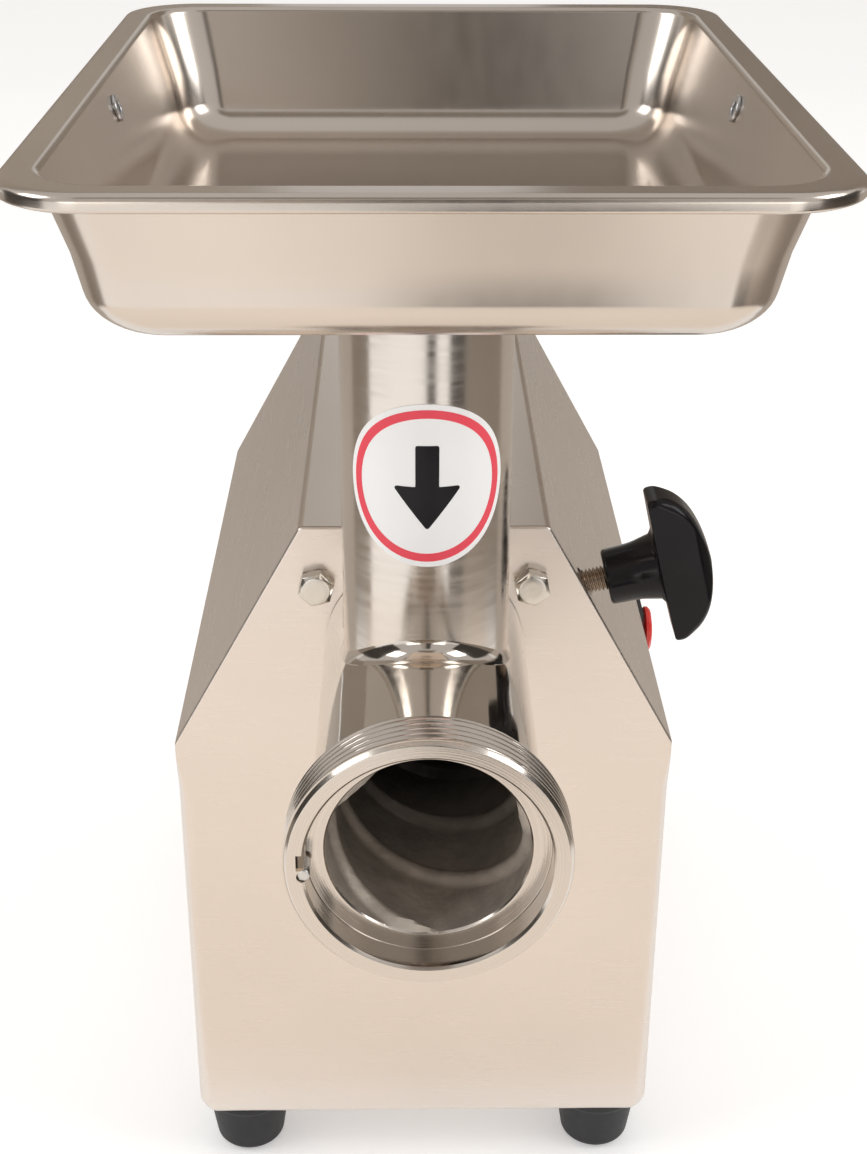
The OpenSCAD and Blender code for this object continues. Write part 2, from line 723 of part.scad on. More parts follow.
module head_barrel() color("#b5aea4") from_panel() difference() {
    turn_y([
        [journal_r, spigot_l], [spigot_r - 1, spigot_l], [spigot_r, spigot_l - 1],
        [spigot_r, 0], [barrel_r, 0], [barrel_r, collar_l - mouth_reach],
        [mouth_r - 1.5, collar_l - mouth_reach], [mouth_r, collar_l - mouth_reach - 1.5],
        [mouth_r, 1.2 - mouth_reach], [mouth_r - 1.2, -mouth_reach],
        [plate_r + 0.6, -mouth_reach], [plate_r, 0.6 - mouth_reach],
        [plate_r, plate_depth - mouth_reach], [bore_r, plate_depth - mouth_reach],
        [bore_r, bore_end], [journal_r, bore_end]
    ]);
    translate([0, -tube_y, axis_z]) cylinder(r = tube_r - 1.5, h = barrel_r + 5);
    translate([0, 0, axis_z]) rotate([0, -clamp_tilt, 0])
        translate([flat_dist, 1.5, -25]) cube([20, spigot_l, 50]);
    translate([-plate_r - 2.2, -mouth_reach - 1, axis_z + pin_z + 2.4]) cube([4, 6, 6]);
    bar_y(pin_r + touch, -mouth_reach - 1, pin_end, -plate_r, axis_z + pin_z);
}

module feed_tube() color("#bdb5aa") from_panel() difference() {
    translate([0, -tube_y, axis_z + 20]) cylinder(r = tube_r, h = tray_z - axis_z - 20);
    translate([0, -tube_y, axis_z]) cylinder(r = tube_r - 1.5, h = tray_z - axis_z + 1);
    bar_y(barrel_r + touch, -tube_y - 50, 0, 0, axis_z);
}

module plate_key_pin() color("#cfcabf") from_panel()
    bar_y(pin_r, 1 - mouth_reach, pin_end, -plate_r, axis_z + pin_z);

// Round label wrapped on the tube: its outline as seen from the front
label_r = 29.8;
label_z = 380;
label_outline = [
    for (a = [0:7.5:352.5])
        [tube_r * sin(label_r * cos(a) / tube_r * 180 / PI), label_z + label_r * sin(a)]
];
module hand_guard_label() color("#e9eaea") from_panel() intersection() {
    difference() {
        translate([0, -tube_y, label_z - 35]) cylinder(r = tube_r + 0.3, h = 70);
        translate([0, -tube_y, label_z - 36]) cylinder(r = tube_r + touch, h = 72);
    }
    sweep_y(-tube_y - 40, -tube_y - 10) polygon(label_outline);
}

// ---------- tray ----------

// Half width of the tray wall at the height z above the tray's underside
function wall_half(half_top, z, skin) = half_top - skin - (tray_h - z) * wall_lean;

// Rounded rectangle of four thin discs, for a hull
module corner_discs(half_x, half_y, r, z, thick = 0.1)
    for (sx = [-1, 1], sy = [-1, 1])
        translate([sx * (half_x - r), sy * (half_y - r), z]) cylinder(r = r, h = thick, $fn = 28);

// Solid bowl shape with sloping walls and a rounded lower edge, skin inside the outer face
module tray_bowl(skin, top) {
    r = bend_r - skin;
    inner_x = tray_w / 2 - rim_w;
    inner_y = tray_l / 2 - rim_w;
    hull() {
        for (a = [0, 26, 52, 90 - draft]) {
            z = skin + r - r * cos(a);
            back = r * wall_lean - r / cos(draft) + r * sin(a) - (z - skin) * wall_lean;
            corner_discs(
                wall_half(inner_x, z, skin) + back,
                wall_half(inner_y, z, skin) + back, 10 + r * sin(a) * 0.4, z
            );
        }
        corner_discs(inner_x - skin, inner_y - skin, 20, top);
    }
}

module tray_pan() color("#c4bbb0") translate([0, panel_y - tube_y, tray_z]) difference() {
    union() {
        tray_bowl(0, tray_h - 0.2);
        hull() corner_discs(tray_w / 2, tray_l / 2, 25, tray_h - 5, 5);
    }
    tray_bowl(tray_sheet, tray_h + 0.5);
    difference() {
        hull() corner_discs(tray_w / 2 - 3, tray_l / 2 - 3, 23, tray_h - 6, 6 - tray_sheet);
        translate([0, 0, -1]) tray_bowl(0, tray_h);
    }
    translate([0, 0, -1]) cylinder(r = spout_r + touch, h = 4);
    at_eyelets() cylinder(r = 3, h = 8, center = true);
}

module tray_spout() color("#b9b1a6") translate([0, panel_y - tube_y, 0]) difference() {
    translate([0, 0, tray_z - 24]) cylinder(r = spout_r, h = 24 + tray_sheet);
    translate([0, 0, tray_z - 25]) cylinder(r = spout_r - spout_wall, h = 30);
}

// Eyelets high in the middle of each side wall, square to the wall
module at_eyelets()
    for (side = [-1, 1])
        translate([
            side * (tray_w / 2 - rim_w - tray_sheet / 2 - eyelet_drop * wall_lean),
            0, tray_h - eyelet_drop
        ]) rotate([0, side * (90 + draft), 0]) children();

module tray_eyelets() color("#a8a299") translate([0, panel_y - tube_y, tray_z]) at_eyelets()
    rotate_extrude() polygon([
        [2, -1.9], [4.4, -1.9], [4.4, -0.9], [2.9, -0.9], [2.9, 0.9], [4.4, 0.9], [4.4, 1.7],
        [2, 1.7]
    ]);

// ---------- clamp ----------

module clamp_pad() color("#c9a14a") on_clamp_axis() difference() {
    bar_x(pad_r, pad_tip, pad_tip + pad_l);
    bar_x(stud_tip_r + run, pad_tip + 1.5, pad_tip + pad_l + 1);
}

module clamp_stud() color("#8a7f72") on_clamp_axis() {
    bar_x(stud_tip_r, pad_tip + 1.6, stud_step + 1);
    bar_x(stud_r, stud_step, clamp_gap + stud_in_knob);
}

// Black wing knob: a round collar that flares into a half-moon wing
module clamp_knob() color("#141416") on_clamp_axis() difference() {
    union() {
        translate([clamp_gap, 0, 0]) rotate([0, 90, 0]) rotate_extrude() polygon([
            [0, 0], [knob_collar_r - 1.5, 0], [knob_collar_r, 1.5], [knob_collar_r, 12],
            [knob_collar_r + 1, 16], [knob_collar_r + 2.6, knob_collar_l + 0.4],
            [0, knob_collar_l + 0.4]
        ]);
        intersection() {
            translate([clamp_gap + knob_collar_l + wing_depth - wing_r, wing_t / 2, 0])
                rotate([90, 0, 0]) cylinder(r = wing_r, h = wing_t, $fn = 96);
            translate([clamp_gap + knob_collar_l, -wing_t, -wing_r])
                cube([wing_r, 2 * wing_t, 2 * wing_r]);
        }
    }
    bar_x(stud_r + touch, clamp_gap - 1, clamp_gap + stud_in_knob + 0.5);
}

// ---------- what is drawn ----------

housing_shell();
front_panel();
rear_panel();
rear_panel_screws();
base_plate();
base_screws();
feet();
foot_screws();
gearbox_case();
gearbox_cover();
cover_screws();
flange_bolts();
output_front_bearing();
output_rear_bearing();
output_seal();
output_shaft();
output_gear();
layshaft();
layshaft_pinion();
layshaft_gear();
layshaft_bearings();
rotor_shaft();
motor_pinion();
rotor_core();
cooling_fan();
rotor_bearings();
stator_core();
stator_windings();
motor_front_bell();
motor_rear_bell();
motor_tie_rods();
motor_cradle();
run_capacitor();
capacitor_clip();
terminal_block();
wiring_loom();
cable_gland();
switch_plate();
switch_body();
stop_button();
start_button();
head_barrel();
feed_tube();
plate_key_pin();
hand_guard_label();
tray_pan();
tray_spout();
tray_eyelets();
clamp_pad();
clamp_stud();
clamp_knob();
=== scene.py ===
"""Looks for an electric meat grinder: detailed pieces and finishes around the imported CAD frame."""

import itertools
import json
import math

import bmesh
import bpy
from mathutils import Matrix, Vector


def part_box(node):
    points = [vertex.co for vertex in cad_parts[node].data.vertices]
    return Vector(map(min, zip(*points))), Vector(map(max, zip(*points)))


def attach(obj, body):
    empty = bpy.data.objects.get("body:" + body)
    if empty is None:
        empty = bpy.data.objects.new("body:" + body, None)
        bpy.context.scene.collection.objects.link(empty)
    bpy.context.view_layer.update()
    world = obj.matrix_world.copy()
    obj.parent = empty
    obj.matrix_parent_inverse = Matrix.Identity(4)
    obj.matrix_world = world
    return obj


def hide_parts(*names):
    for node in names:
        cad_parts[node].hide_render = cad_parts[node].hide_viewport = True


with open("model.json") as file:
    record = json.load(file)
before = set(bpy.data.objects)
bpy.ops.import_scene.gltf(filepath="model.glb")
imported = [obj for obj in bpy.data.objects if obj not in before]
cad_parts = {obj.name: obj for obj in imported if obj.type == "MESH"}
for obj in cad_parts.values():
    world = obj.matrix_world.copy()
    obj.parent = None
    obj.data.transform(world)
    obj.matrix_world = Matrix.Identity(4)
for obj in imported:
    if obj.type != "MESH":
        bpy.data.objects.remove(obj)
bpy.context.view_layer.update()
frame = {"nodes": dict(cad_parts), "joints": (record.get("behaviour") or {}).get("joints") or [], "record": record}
MM = 0.001
TURN = 2 * math.pi

# ---------------- places taken from the frame

PANEL_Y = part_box("front_panel")[0].y
REAR_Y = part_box("rear_panel")[1].y
BARREL_LOW, BARREL_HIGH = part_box("head_barrel")
AXIS_Z = (BARREL_LOW.z + BARREL_HIGH.z) / 2
MOUTH_Y = BARREL_LOW.y
MOUTH_R = (BARREL_HIGH.z - BARREL_LOW.z) / 2
TUBE_LOW, TUBE_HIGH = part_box("feed_tube")
TUBE_Y = (TUBE_LOW.y + TUBE_HIGH.y) / 2
TUBE_R = (TUBE_HIGH.x - TUBE_LOW.x) / 2
TRAY_LOW, TRAY_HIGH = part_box("tray_pan")
SHELL_LOW, SHELL_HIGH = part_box("housing_shell")
LABEL_LOW, LABEL_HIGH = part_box("hand_guard_label")
LABEL_Z = (LABEL_LOW.z + LABEL_HIGH.z) / 2
TRAY_Y = (TRAY_LOW.y + TRAY_HIGH.y) / 2
CLAMP = next(joint for joint in frame["joints"] if joint["name"] == "clamp_turn")
CLAMP_TILT = math.asin(CLAMP["axis"][2])

# ---------------- sizes inside the pieces, in mm

BARREL_R = 40
COLLAR_L = 18
PLATE_R = 41.25
PLATE_DEPTH = 10.5
BORE_R = 34.5
BACK_WALL = -14
JOURNAL_R = 16
SPIGOT_R = 30
SPIGOT_L = 42
THREAD_PITCH = 3
THREAD_DEPTH = 1.25
RIB_LEAD = 104
RIB_STARTS = 3
RIB_HEIGHT = 2.8
RIB_WIDTH = 8.0
TUBE_WALL = 1.5
WELD_R = 6
# Stations along the barrel, behind the front panel.
MOUTH = (MOUTH_Y - PANEL_Y) / MM
THREAD_START = MOUTH + 1.5
THREAD_END = MOUTH + COLLAR_L - 1.6

SHEET = 1.5
SHOULDER_Z = 230
TOP_HALF = 49
BOTTOM_BEND = 8
SIDE_LIP = 42
END_LIP = 14
SEAM_GAP = 0.45

RIM_W = 11.3
TRAY_DRAFT = math.radians(12)
TRAY_BEND = 16
TRAY_SHEET = 1.2
TRAY_H = 47
SPOUT_R = 28.45
TRAY_DEPTH = TRAY_H - TRAY_SHEET
RIM_FLARE = 1.2
EYELET_DROP = 10

KEY_DROP = 3.6
KEY_R = 2.25
BOLT_CIRCLE = 50.8
FOOT_H = 30
FOOT_R = 20

# ---------------- mesh helpers


def circle_points(radius, count):
    """Points on a circle, as (x, y) pairs."""
    angles = [TURN * i / count for i in range(count)]
    return [(radius * math.cos(angle), radius * math.sin(angle)) for angle in angles]


def arc(first, last, steps):
    """Vectors that turn evenly from the first to the last, which are as long as each other."""
    angle = first.angle(last)
    parts = [angle * k / steps for k in range(steps + 1)]
    return [(first * math.sin(angle - part) + last * math.sin(part)) / math.sin(angle) for part in parts]


def filleted(points, steps=6, closed=False):
    """A line of (x, y, fillet radius) corners as (x, y) points, with each corner rounded."""
    out, count = [], len(points)
    for i, (x, y, radius) in enumerate(points):
        ends = not closed and i in (0, count - 1)
        if radius <= 0 or ends:
            out.append((x, y))
            continue
        here = Vector((x, y))
        back = Vector(points[i - 1][:2]) - here
        ahead = Vector(points[(i + 1) % count][:2]) - here
        half = back.angle(ahead) / 2
        reach = min(radius / math.tan(half), 0.499 * back.length, 0.499 * ahead.length)
        radius = reach * math.tan(half)
        centre = here + (back.normalized() + ahead.normalized()).normalized() * radius / math.sin(half)
        first = here + back.normalized() * reach - centre
        last = here + ahead.normalized() * reach - centre
        out += [(centre.x + arm.x, centre.y + arm.y) for arm in arc(first, last, steps)]
    return out


def rounded_rect(half_x, half_y, radius, steps=10):
    """A rounded rectangle's points, the same number whatever its size."""
    out = []
    for quarter in range(4):
        sign_x = 1 if quarter in (0, 3) else -1
        sign_y = 1 if quarter < 2 else -1
        for k in range(steps + 1):
            angle = (quarter + k / steps) * math.pi / 2
            out.append((
                sign_x * (half_x - radius) + radius * math.cos(angle),
                sign_y * (half_y - radius) + radius * math.sin(angle),
            ))
    return out


def add_ring(bm, points):
    """One vertex for each point, in order."""
    return [bm.verts.new(point) for point in points]


def bridge(bm, first, second, closed=True):
    """A strip of quads between two rings of the same length."""
    count = len(first)
    for i in range(count if closed else count - 1):
        j = (i + 1) % count
        bm.faces.new((first[i], first[j], second[j], second[i]))


def bridge_all(bm, rings):
    """Strips of quads from each ring to the next."""
    for first, second in zip(rings, rings[1:]):
        bridge(bm, first, second)


def lathe(bm, profile, place, segments=96, closed=False):
    """A (radius, along) line turned about the Z axis of place. Points on the axis close it."""
    rings = []
    for radius, along in profile:
        if radius < 1e-6:
            rings.append(bm.verts.new(place @ Vector((0, 0, along))))
        else:
            spots = circle_points(radius, segments)
            rings.append(add_ring(bm, [place @ Vector((x, y, along)) for x, y in spots]))
    pairs = list(zip(rings, rings[1:]))
    if closed:
        pairs.append((rings[-1], rings[0]))
    for first, second in pairs:
        if isinstance(first, list) and isinstance(second, list):
            bridge(bm, first, second)
        else:
            tip, ring = (first, second) if isinstance(second, list) else (second, first)
            for i in range(segments):
                bm.faces.new((ring[i], ring[(i + 1) % segments], tip))


def millimetres(*turn):
    """A matrix that takes millimetres to metres, then applies the given matrices."""
    place = Matrix.Diagonal((MM, MM, MM, 1))
    for matrix in reversed(turn):
        place = matrix @ place
    return place


def axis_y(x, y, z):
    """A place whose local Z runs to the back (+Y), local X to the right and local Y down."""
    return millimetres(Matrix.Translation((x, y, z)), Matrix.Rotation(-math.pi / 2, 4, "X"))


def axis_z(x, y, z):
    """A place whose local Z runs up."""
    return millimetres(Matrix.Translation((x, y, z)))


def axis_x(x, y, z, tilt):
    """A place whose local Z runs to the right, tilted up by an angle."""
    turn = Matrix.Rotation(-tilt, 4, "Y") @ Matrix.Rotation(math.pi / 2, 4, "Y")
    return millimetres(Matrix.Translation((x, y, z)), turn)


def bake_modifiers(obj):
    """Replaces the object's mesh by its evaluated one and drops the modifiers."""
    bpy.context.view_layer.update()
    evaluated = obj.evaluated_get(bpy.context.evaluated_depsgraph_get())
    mesh = bpy.data.meshes.new_from_object(evaluated)
    obj.modifiers.clear()
    obj.data = mesh


def smooth(obj, angle=32):
    """Smooth shading with sharp edges over the angle, weighted by face size."""
    obj.data.shade_smooth()
    obj.data.set_sharp_from_angle(angle=math.radians(angle))
    weighted = obj.modifiers.new("weighted", "WEIGHTED_NORMAL")
    weighted.keep_sharp = True


def make_object(name, bm, finish):
    """A linked object from a bmesh, with doubles merged and normals outwards."""
    bmesh.ops.remove_doubles(bm, verts=bm.verts, dist=2e-6)
    bmesh.ops.dissolve_degenerate(bm, edges=bm.edges, dist=1e-6)
    bmesh.ops.recalc_face_normals(bm, faces=bm.faces)
    mesh = bpy.data.meshes.new(name)
    bm.to_mesh(mesh)
    bm.free()
    obj = bpy.data.objects.new(name, mesh)
    bpy.context.scene.collection.objects.link(obj)
    for material in finish if isinstance(finish, (list, tuple)) else [finish]:
        mesh.materials.append(material)
    return obj


def place_piece(obj, body, slot, *stands_for):
    """Puts the piece on its body and hides the CAD parts it stands for."""
    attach(obj, body)
    if stands_for:
        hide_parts(*stands_for)
    return obj


def cut(obj, *cutters):
    """Cuts closed bmesh solids out of the object."""
    for bm in cutters:
        tool = make_object("cutter", bm, ())
        boolean = obj.modifiers.new("cut", "BOOLEAN")
        boolean.object = tool
        boolean.operation = "DIFFERENCE"
        boolean.solver = "EXACT"
        bake_modifiers(obj)
        bpy.data.objects.remove(tool)


def rod(place, radius, start, end, segments=64):
    """A closed rod along the place's Z, as a cutter."""
    bm = bmesh.new()
    lathe(bm, [(0, start), (radius, start), (radius, end), (0, end)], place, segments)
    return bm


def block(low, high):
    """A closed block between two corners, as a cutter."""
    bm = bmesh.new()
    corners = itertools.product(*zip(low, high))
    verts = [bm.verts.new(Vector(corner) * MM) for corner in corners]
    for quad in ((0, 1, 3, 2), (4, 6, 7, 5), (0, 4, 5, 1), (2, 3, 7, 6), (0, 2, 6, 4), (1, 5, 7, 3)):
        bm.faces.new([verts[i] for i in quad])
    return bm


def thicken(obj, thickness):
    """Gives a sheet its thickness, on the inner side."""
    solid = obj.modifiers.new("sheet", "SOLIDIFY")
    solid.thickness = thickness
    solid.offset = -1.0
    solid.use_even_offset = True
    bake_modifiers(obj)


def mix(low, high, share):
    """A value between low and high."""
    return low + (high - low) * share


def smoothstep(value):
    """0 below 0, 1 above 1, smooth between."""
    value = min(1.0, max(0.0, value))
    return value * value * (3 - 2 * value)


# ---------------- materials


class Finish:
    """A small node builder around one Principled shader."""

    def __init__(self, name, color, roughness, metallic=0.0):
        self.material = bpy.data.materials.new(name)
        self.material.use_nodes = True
        self.tree = self.material.node_tree
        self.shader = self.tree.nodes["Principled BSDF"]
        self.color = color
        self.roughness = roughness
        self.set("Base Color", (*color, 1))
        self.set("Roughness", roughness)
        self.set("Metallic", metallic)
        self.coords = self.node("ShaderNodeTexCoord").outputs["Object"]

    def set(self, socket, value):
        """Gives an input of the shader a fixed value."""
        self.shader.inputs[socket].default_value = value

    def node(self, kind, **settings):
        """A new node with the given settings."""
        made = self.tree.nodes.new(kind)
        for key, value in settings.items():
            setattr(made, key, value)
        return made

    def link(self, output, socket):
        """Joins an output to an input."""
        self.tree.links.new(output, socket)

    def noise(self, scale, stretch=(1, 1, 1), detail=4.0, offset=(0, 0, 0)):
        """Noise from 0 to 1, finer along the axes with a larger stretch."""
        mapping = self.node("ShaderNodeMapping")
        mapping.inputs["Scale"].default_value = stretch
        mapping.inputs["Location"].default_value = offset
        self.link(self.coords, mapping.inputs["Vector"])
        noise = self.node("ShaderNodeTexNoise")
        noise.inputs["Scale"].default_value = scale
        noise.inputs["Detail"].default_value = detail
        self.link(mapping.outputs["Vector"], noise.inputs["Vector"])
        return noise.outputs["Fac"]

    def spread(self, source, low, high, start=0.3, end=0.7):
        """The source's range from start to end, taken to low and high."""
        ramp = self.node("ShaderNodeMapRange")
        ramp.inputs["From Min"].default_value = start
        ramp.inputs["From Max"].default_value = end
        ramp.inputs["To Min"].default_value = low
        ramp.inputs["To Max"].default_value = high
        self.link(source, ramp.inputs["Value"])
        return ramp.outputs["Result"]

    def tint(self, source, other, low=0.3, high=0.7, over=None):
        """Mixes the base colour, or over, with another colour by the source."""
        blend = self.node("ShaderNodeMix", data_type="RGBA")
        share = self.spread(source, 0, 1, low, high)
        self.link(share, blend.inputs["Factor"])
        if over is None:
            blend.inputs["A"].default_value = (*self.color, 1)
        else:
            self.link(over, blend.inputs["A"])
        blend.inputs["B"].default_value = (*other, 1)
        self.link(blend.outputs["Result"], self.shader.inputs["Base Color"])
        return blend.outputs["Result"]

    def rough(self, source, amount):
        """Roughness from the set value to that plus amount."""
        value = self.spread(source, self.roughness, self.roughness + amount)
        self.link(value, self.shader.inputs["Roughness"])

    def bump(self, source, strength, distance):
        """Bump from the source, added to any bump before it."""
        bump = self.node("ShaderNodeBump")
        bump.inputs["Strength"].default_value = strength
        bump.inputs["Distance"].default_value = distance
        self.link(source, bump.inputs["Height"])
        target = self.shader.inputs["Normal"]
        if target.is_linked:
            self.link(target.links[0].from_socket, bump.inputs["Normal"])
        self.link(bump.outputs["Normal"], target)


def brushed(name, color, roughness, grain, wave=0.0, shade=0.93, grain_bump=0.05, satin=0.08):
    """Brushed or polished steel: grain along one axis, soft dents and a cloudy tone."""
    finish = Finish(name, color, roughness, metallic=1.0)
    lines = finish.noise(60, grain, detail=1)
    clouds = finish.noise(7, detail=3, offset=(0.3, 0.1, 0.7))
    darker = tuple(shade * c for c in color)
    finish.tint(clouds, darker)
    finish.rough(lines, satin)
    finish.bump(lines, grain_bump, 0.0002)
    if wave:
        finish.bump(finish.noise(5, detail=1), wave, 0.01)
    return finish.material


def polished(name, color, roughness, wave=0.05, speck=0.0):
    """Polished or cast metal with soft unevenness and fine pits."""
    finish = Finish(name, color, roughness, metallic=1.0)
    clouds = finish.noise(25, detail=4)
    finish.tint(clouds, tuple(0.9 * c for c in color))
    finish.rough(finish.noise(140, detail=4), 0.06)
    finish.bump(finish.noise(18, detail=1), wave, 0.004)
    if speck:
        finish.bump(finish.noise(420, detail=5), speck, 0.0004)
    return finish.material


def moulded(name, color, roughness, grain=0.04, scale=900, coat=0.0, lift=1.4, gloss=0.5):
    """Moulded plastic or rubber with a fine grain."""
    finish = Finish(name, color, roughness)
    finish.tint(finish.noise(30, detail=3), tuple(min(1, lift * c) for c in color))
    finish.rough(finish.noise(scale / 4, detail=3), 0.08)
    finish.bump(finish.noise(scale, detail=3), grain, 0.0003)
    finish.set("Specular IOR Level", gloss)
    finish.set("Coat Weight", coat)
    finish.set("Coat Roughness", 0.06)
    return finish.material


def turned(name, color, roughness, axis_height):
    """Machined metal: fine rings about an axis along Y, above the origin."""
    rings_per_metre = 1800
    finish = Finish(name, color, roughness, metallic=1.0)
    mapping = finish.node("ShaderNodeMapping")
    mapping.inputs["Location"].default_value = (0, 0, -axis_height)
    mapping.inputs["Scale"].default_value = (1, 0, 1)
    finish.link(finish.coords, mapping.inputs["Vector"])
    length = finish.node("ShaderNodeVectorMath", operation="LENGTH")
    finish.link(mapping.outputs["Vector"], length.inputs[0])
    combine = finish.node("ShaderNodeCombineXYZ")
    finish.link(length.outputs["Value"], combine.inputs["X"])
    noise = finish.node("ShaderNodeTexNoise")
    noise.inputs["Scale"].default_value = rings_per_metre
    noise.inputs["Detail"].default_value = 2
    finish.link(combine.outputs["Vector"], noise.inputs["Vector"])
    rings = noise.outputs["Fac"]
    finish.tint(rings, tuple(0.86 * c for c in color))
    finish.rough(rings, 0.1)
    finish.bump(rings, 0.12, 0.0003)
    return finish.material


def cast_iron_bore(name):
    """The raw inside of the barrel: grey and mottled, with painted shade that darkens it to near black towards the
    back.
    """
    finish = Finish(name, (0.62, 0.55, 0.48), 0.38, metallic=0.5)
    base = finish.tint(finish.noise(90, detail=6), (0.44, 0.39, 0.34))
    split = finish.node("ShaderNodeSeparateXYZ")
    finish.link(finish.coords, split.inputs["Vector"])
    # painted shade: the bore's colour fades to near black with depth, standing in for the shade deep inside the
    # barrel
    depth = finish.spread(split.outputs["Y"], 0, 0.93, MOUTH_Y + 0.035, MOUTH_Y + 0.105)
    finish.tint(depth, (0.03, 0.028, 0.028), 0, 1, over=base)
    finish.rough(finish.noise(200, detail=4), 0.2)
    finish.bump(finish.noise(260, detail=6), 0.35, 0.0012)
    finish.bump(finish.noise(40, detail=2), 0.25, 0.004)
    return finish.material


# Every finish: brushed and polished metal, then moulded rubber, plastic and film.
M = {
    "housing": brushed("steel_housing", (0.77, 0.70, 0.64), 0.27, (0.5, 0.3, 14.0),
                       wave=0.05, grain_bump=0.004, satin=0.04),
    "tray": brushed("steel_tray", (0.72, 0.65, 0.585), 0.19, (3.0, 3.0, 1.0),
                    wave=0.1, shade=0.84, grain_bump=0.005, satin=0.02),
    "tube": brushed("steel_tube", (0.74, 0.68, 0.62), 0.17, (1.0, 1.0, 9.0), wave=0.10, shade=0.88),
    "cast": polished("steel_polished_casting", (0.74, 0.69, 0.63), 0.035, wave=0.12),
    "machined": turned("steel_machined", (0.70, 0.64, 0.58), 0.13, AXIS_Z),
    # painted shade: the plate recess gets a darker copy of the steel, standing in for the shade inside the mouth
    "recess": polished("steel_recess_painted_shade", (0.50, 0.45, 0.40), 0.10, wave=0.05, speck=0.03),
    "weld": polished("steel_weld", (0.70, 0.64, 0.58), 0.085, wave=0.15),
    "bore": cast_iron_bore("iron_bore"),
    "ground": brushed("steel_ground", (0.66, 0.65, 0.63), 0.22, (1, 6, 1)),
    "stud": polished("steel_stud", (0.42, 0.34, 0.27), 0.22, speck=0.05),
    "zinc": polished("zinc_plate", (0.70, 0.66, 0.60), 0.2, speck=0.05),
    "bearing": polished("steel_bearing", (0.62, 0.63, 0.65), 0.18),
    "gear": polished("steel_gear", (0.42, 0.43, 0.45), 0.3, speck=0.05),
    "lamination": brushed("steel_laminations", (0.30, 0.30, 0.31), 0.4, (1, 40, 1), grain_bump=0.4),
    "casting": polished("iron_gearbox", (0.45, 0.46, 0.47), 0.5, wave=0.1, speck=0.3),
    "aluminium": polished("aluminium_cast", (0.62, 0.63, 0.64), 0.45, wave=0.1, speck=0.3),
    "copper": brushed("copper_wire", (0.62, 0.30, 0.14), 0.35, (1, 30, 30), grain_bump=0.4),
    "brass": polished("brass_turned", (0.78, 0.58, 0.26), 0.25),
    "rubber": moulded("rubber_foot", (0.022, 0.022, 0.024), 0.5, grain=0.12, gloss=0.3),
    "seal": moulded("rubber_seal", (0.02, 0.02, 0.02), 0.5),
    "knob": moulded("phenolic_black", (0.006, 0.005, 0.006), 0.14, grain=0.015, scale=300, gloss=0.22),
    "black": moulded("plastic_black", (0.020, 0.020, 0.022), 0.42, grain=0.15, scale=1500),
    "cream": moulded("plastic_cream", (0.76, 0.71, 0.60), 0.4, lift=0.93),
    "red": moulded("plastic_red", (0.75, 0.025, 0.018), 0.25, coat=0.4, lift=0.85),
    "green": moulded("plastic_green", (0.02, 0.34, 0.08), 0.25, coat=0.4, lift=0.85),
    "film_white": moulded("film_white", (0.95, 0.95, 0.95), 0.3, grain=0.02, lift=0.98),
    "film_red": moulded("film_red", (0.90, 0.085, 0.12), 0.3, grain=0.02, lift=0.93, gloss=0.25),
    "film_black": moulded("film_black", (0.010, 0.009, 0.010), 0.3, grain=0.02, lift=1.6, gloss=0.16),
}

# The finish of each material slot in the record.
SLOT_FINISH = {
    "housing_steel": "housing",
    "tray_steel": "tray",
    "tube_steel": "tube",
    "polished_cast_steel": "cast",
    "ground_steel": "ground",
    "zinc_hardware": "zinc",
    "bearing_steel": "bearing",
    "gear_steel": "gear",
    "lamination_steel": "lamination",
    "gearbox_casting": "casting",
    "motor_aluminium": "aluminium",
    "winding_copper": "copper",
    "brass": "brass",
    "foot_rubber": "rubber",
    "seal_rubber": "seal",
    "black_gloss_plastic": "knob",
    "black_plastic": "black",
    "cream_plastic": "cream",
    "red_plastic": "red",
    "green_plastic": "green",
    "label_film": "film_white",
}


def finish_cad_nodes():
    """Gives every CAD node the finish of its material slot in the record."""
    for part in frame["record"]["subparts"]:
        node = frame["nodes"][part["node"]]
        node.data.materials.clear()
        node.data.materials.append(M[SLOT_FINISH[part["material_slot"]]])


# ---------------- housing


def housing_half_outline():
    """The right half of the housing's outline in X and Z, from the bottom up, in mm."""
    half = SHELL_HIGH.x / MM
    low, top = SHELL_LOW.z / MM, SHELL_HIGH.z / MM
    side = [(half, z, 0) for z in (60, 120, 170, 195, *range(200, 226, 3))]
    corners = [(0, low, 0), (half - SIDE_LIP, low, 0), (half, low, BOTTOM_BEND), *side]
    corners += [(half, SHOULDER_Z, 4), (TOP_HALF, top, 3), (0, top, 0)]
    return filleted(corners, steps=8)


def edge_rounding(x, z):
    """Radius of the bend from the front face to the skin at a point of the outline, in mm."""
    fine, side, bottom = 0.9, 6.0, 3.5
    half = SHELL_HIGH.x / MM
    share = smoothstep((x - half + BOTTOM_BEND) / BOTTOM_BEND)
    fade = smoothstep((SHOULDER_Z - 3 - z) / 26)
    return mix(fine, mix(bottom, side, share), fade)


def outline_normals(points):
    """Outward unit normals of a closed counterclockwise outline."""
    normals = []
    for i, (x, z) in enumerate(points):
        ahead = Vector(points[(i + 1) % len(points)]) - Vector((x, z))
        behind = Vector((x, z)) - Vector(points[i - 1])
        along = ahead.normalized() + behind.normalized()
        normal = Vector((along.y, -along.x)).normalized()
        stretch = normal.dot(Vector((ahead.y, -ahead.x)).normalized())
        normals.append(normal / max(stretch, 0.5))
    return normals


def bend_ring(outline, normals, radii, angle):
    """The outline on the bend: on the sides at an angle of 0, on the front face at a right angle."""
    spots = []
    for (x, z), normal, radius in zip(outline, normals, radii):
        inward = radius * (1 - math.cos(angle))
        depth = radius * (1 - math.sin(angle))
        spots.append(Vector((x - normal.x * inward, PANEL_Y / MM + depth, z - normal.y * inward)) * MM)
    return spots


def straight_ring(outline, stations):
    """The outline with each point at its own station along Y, in mm."""
    return [Vector((x, y, z)) * MM for (x, z), y in zip(outline, stations)]


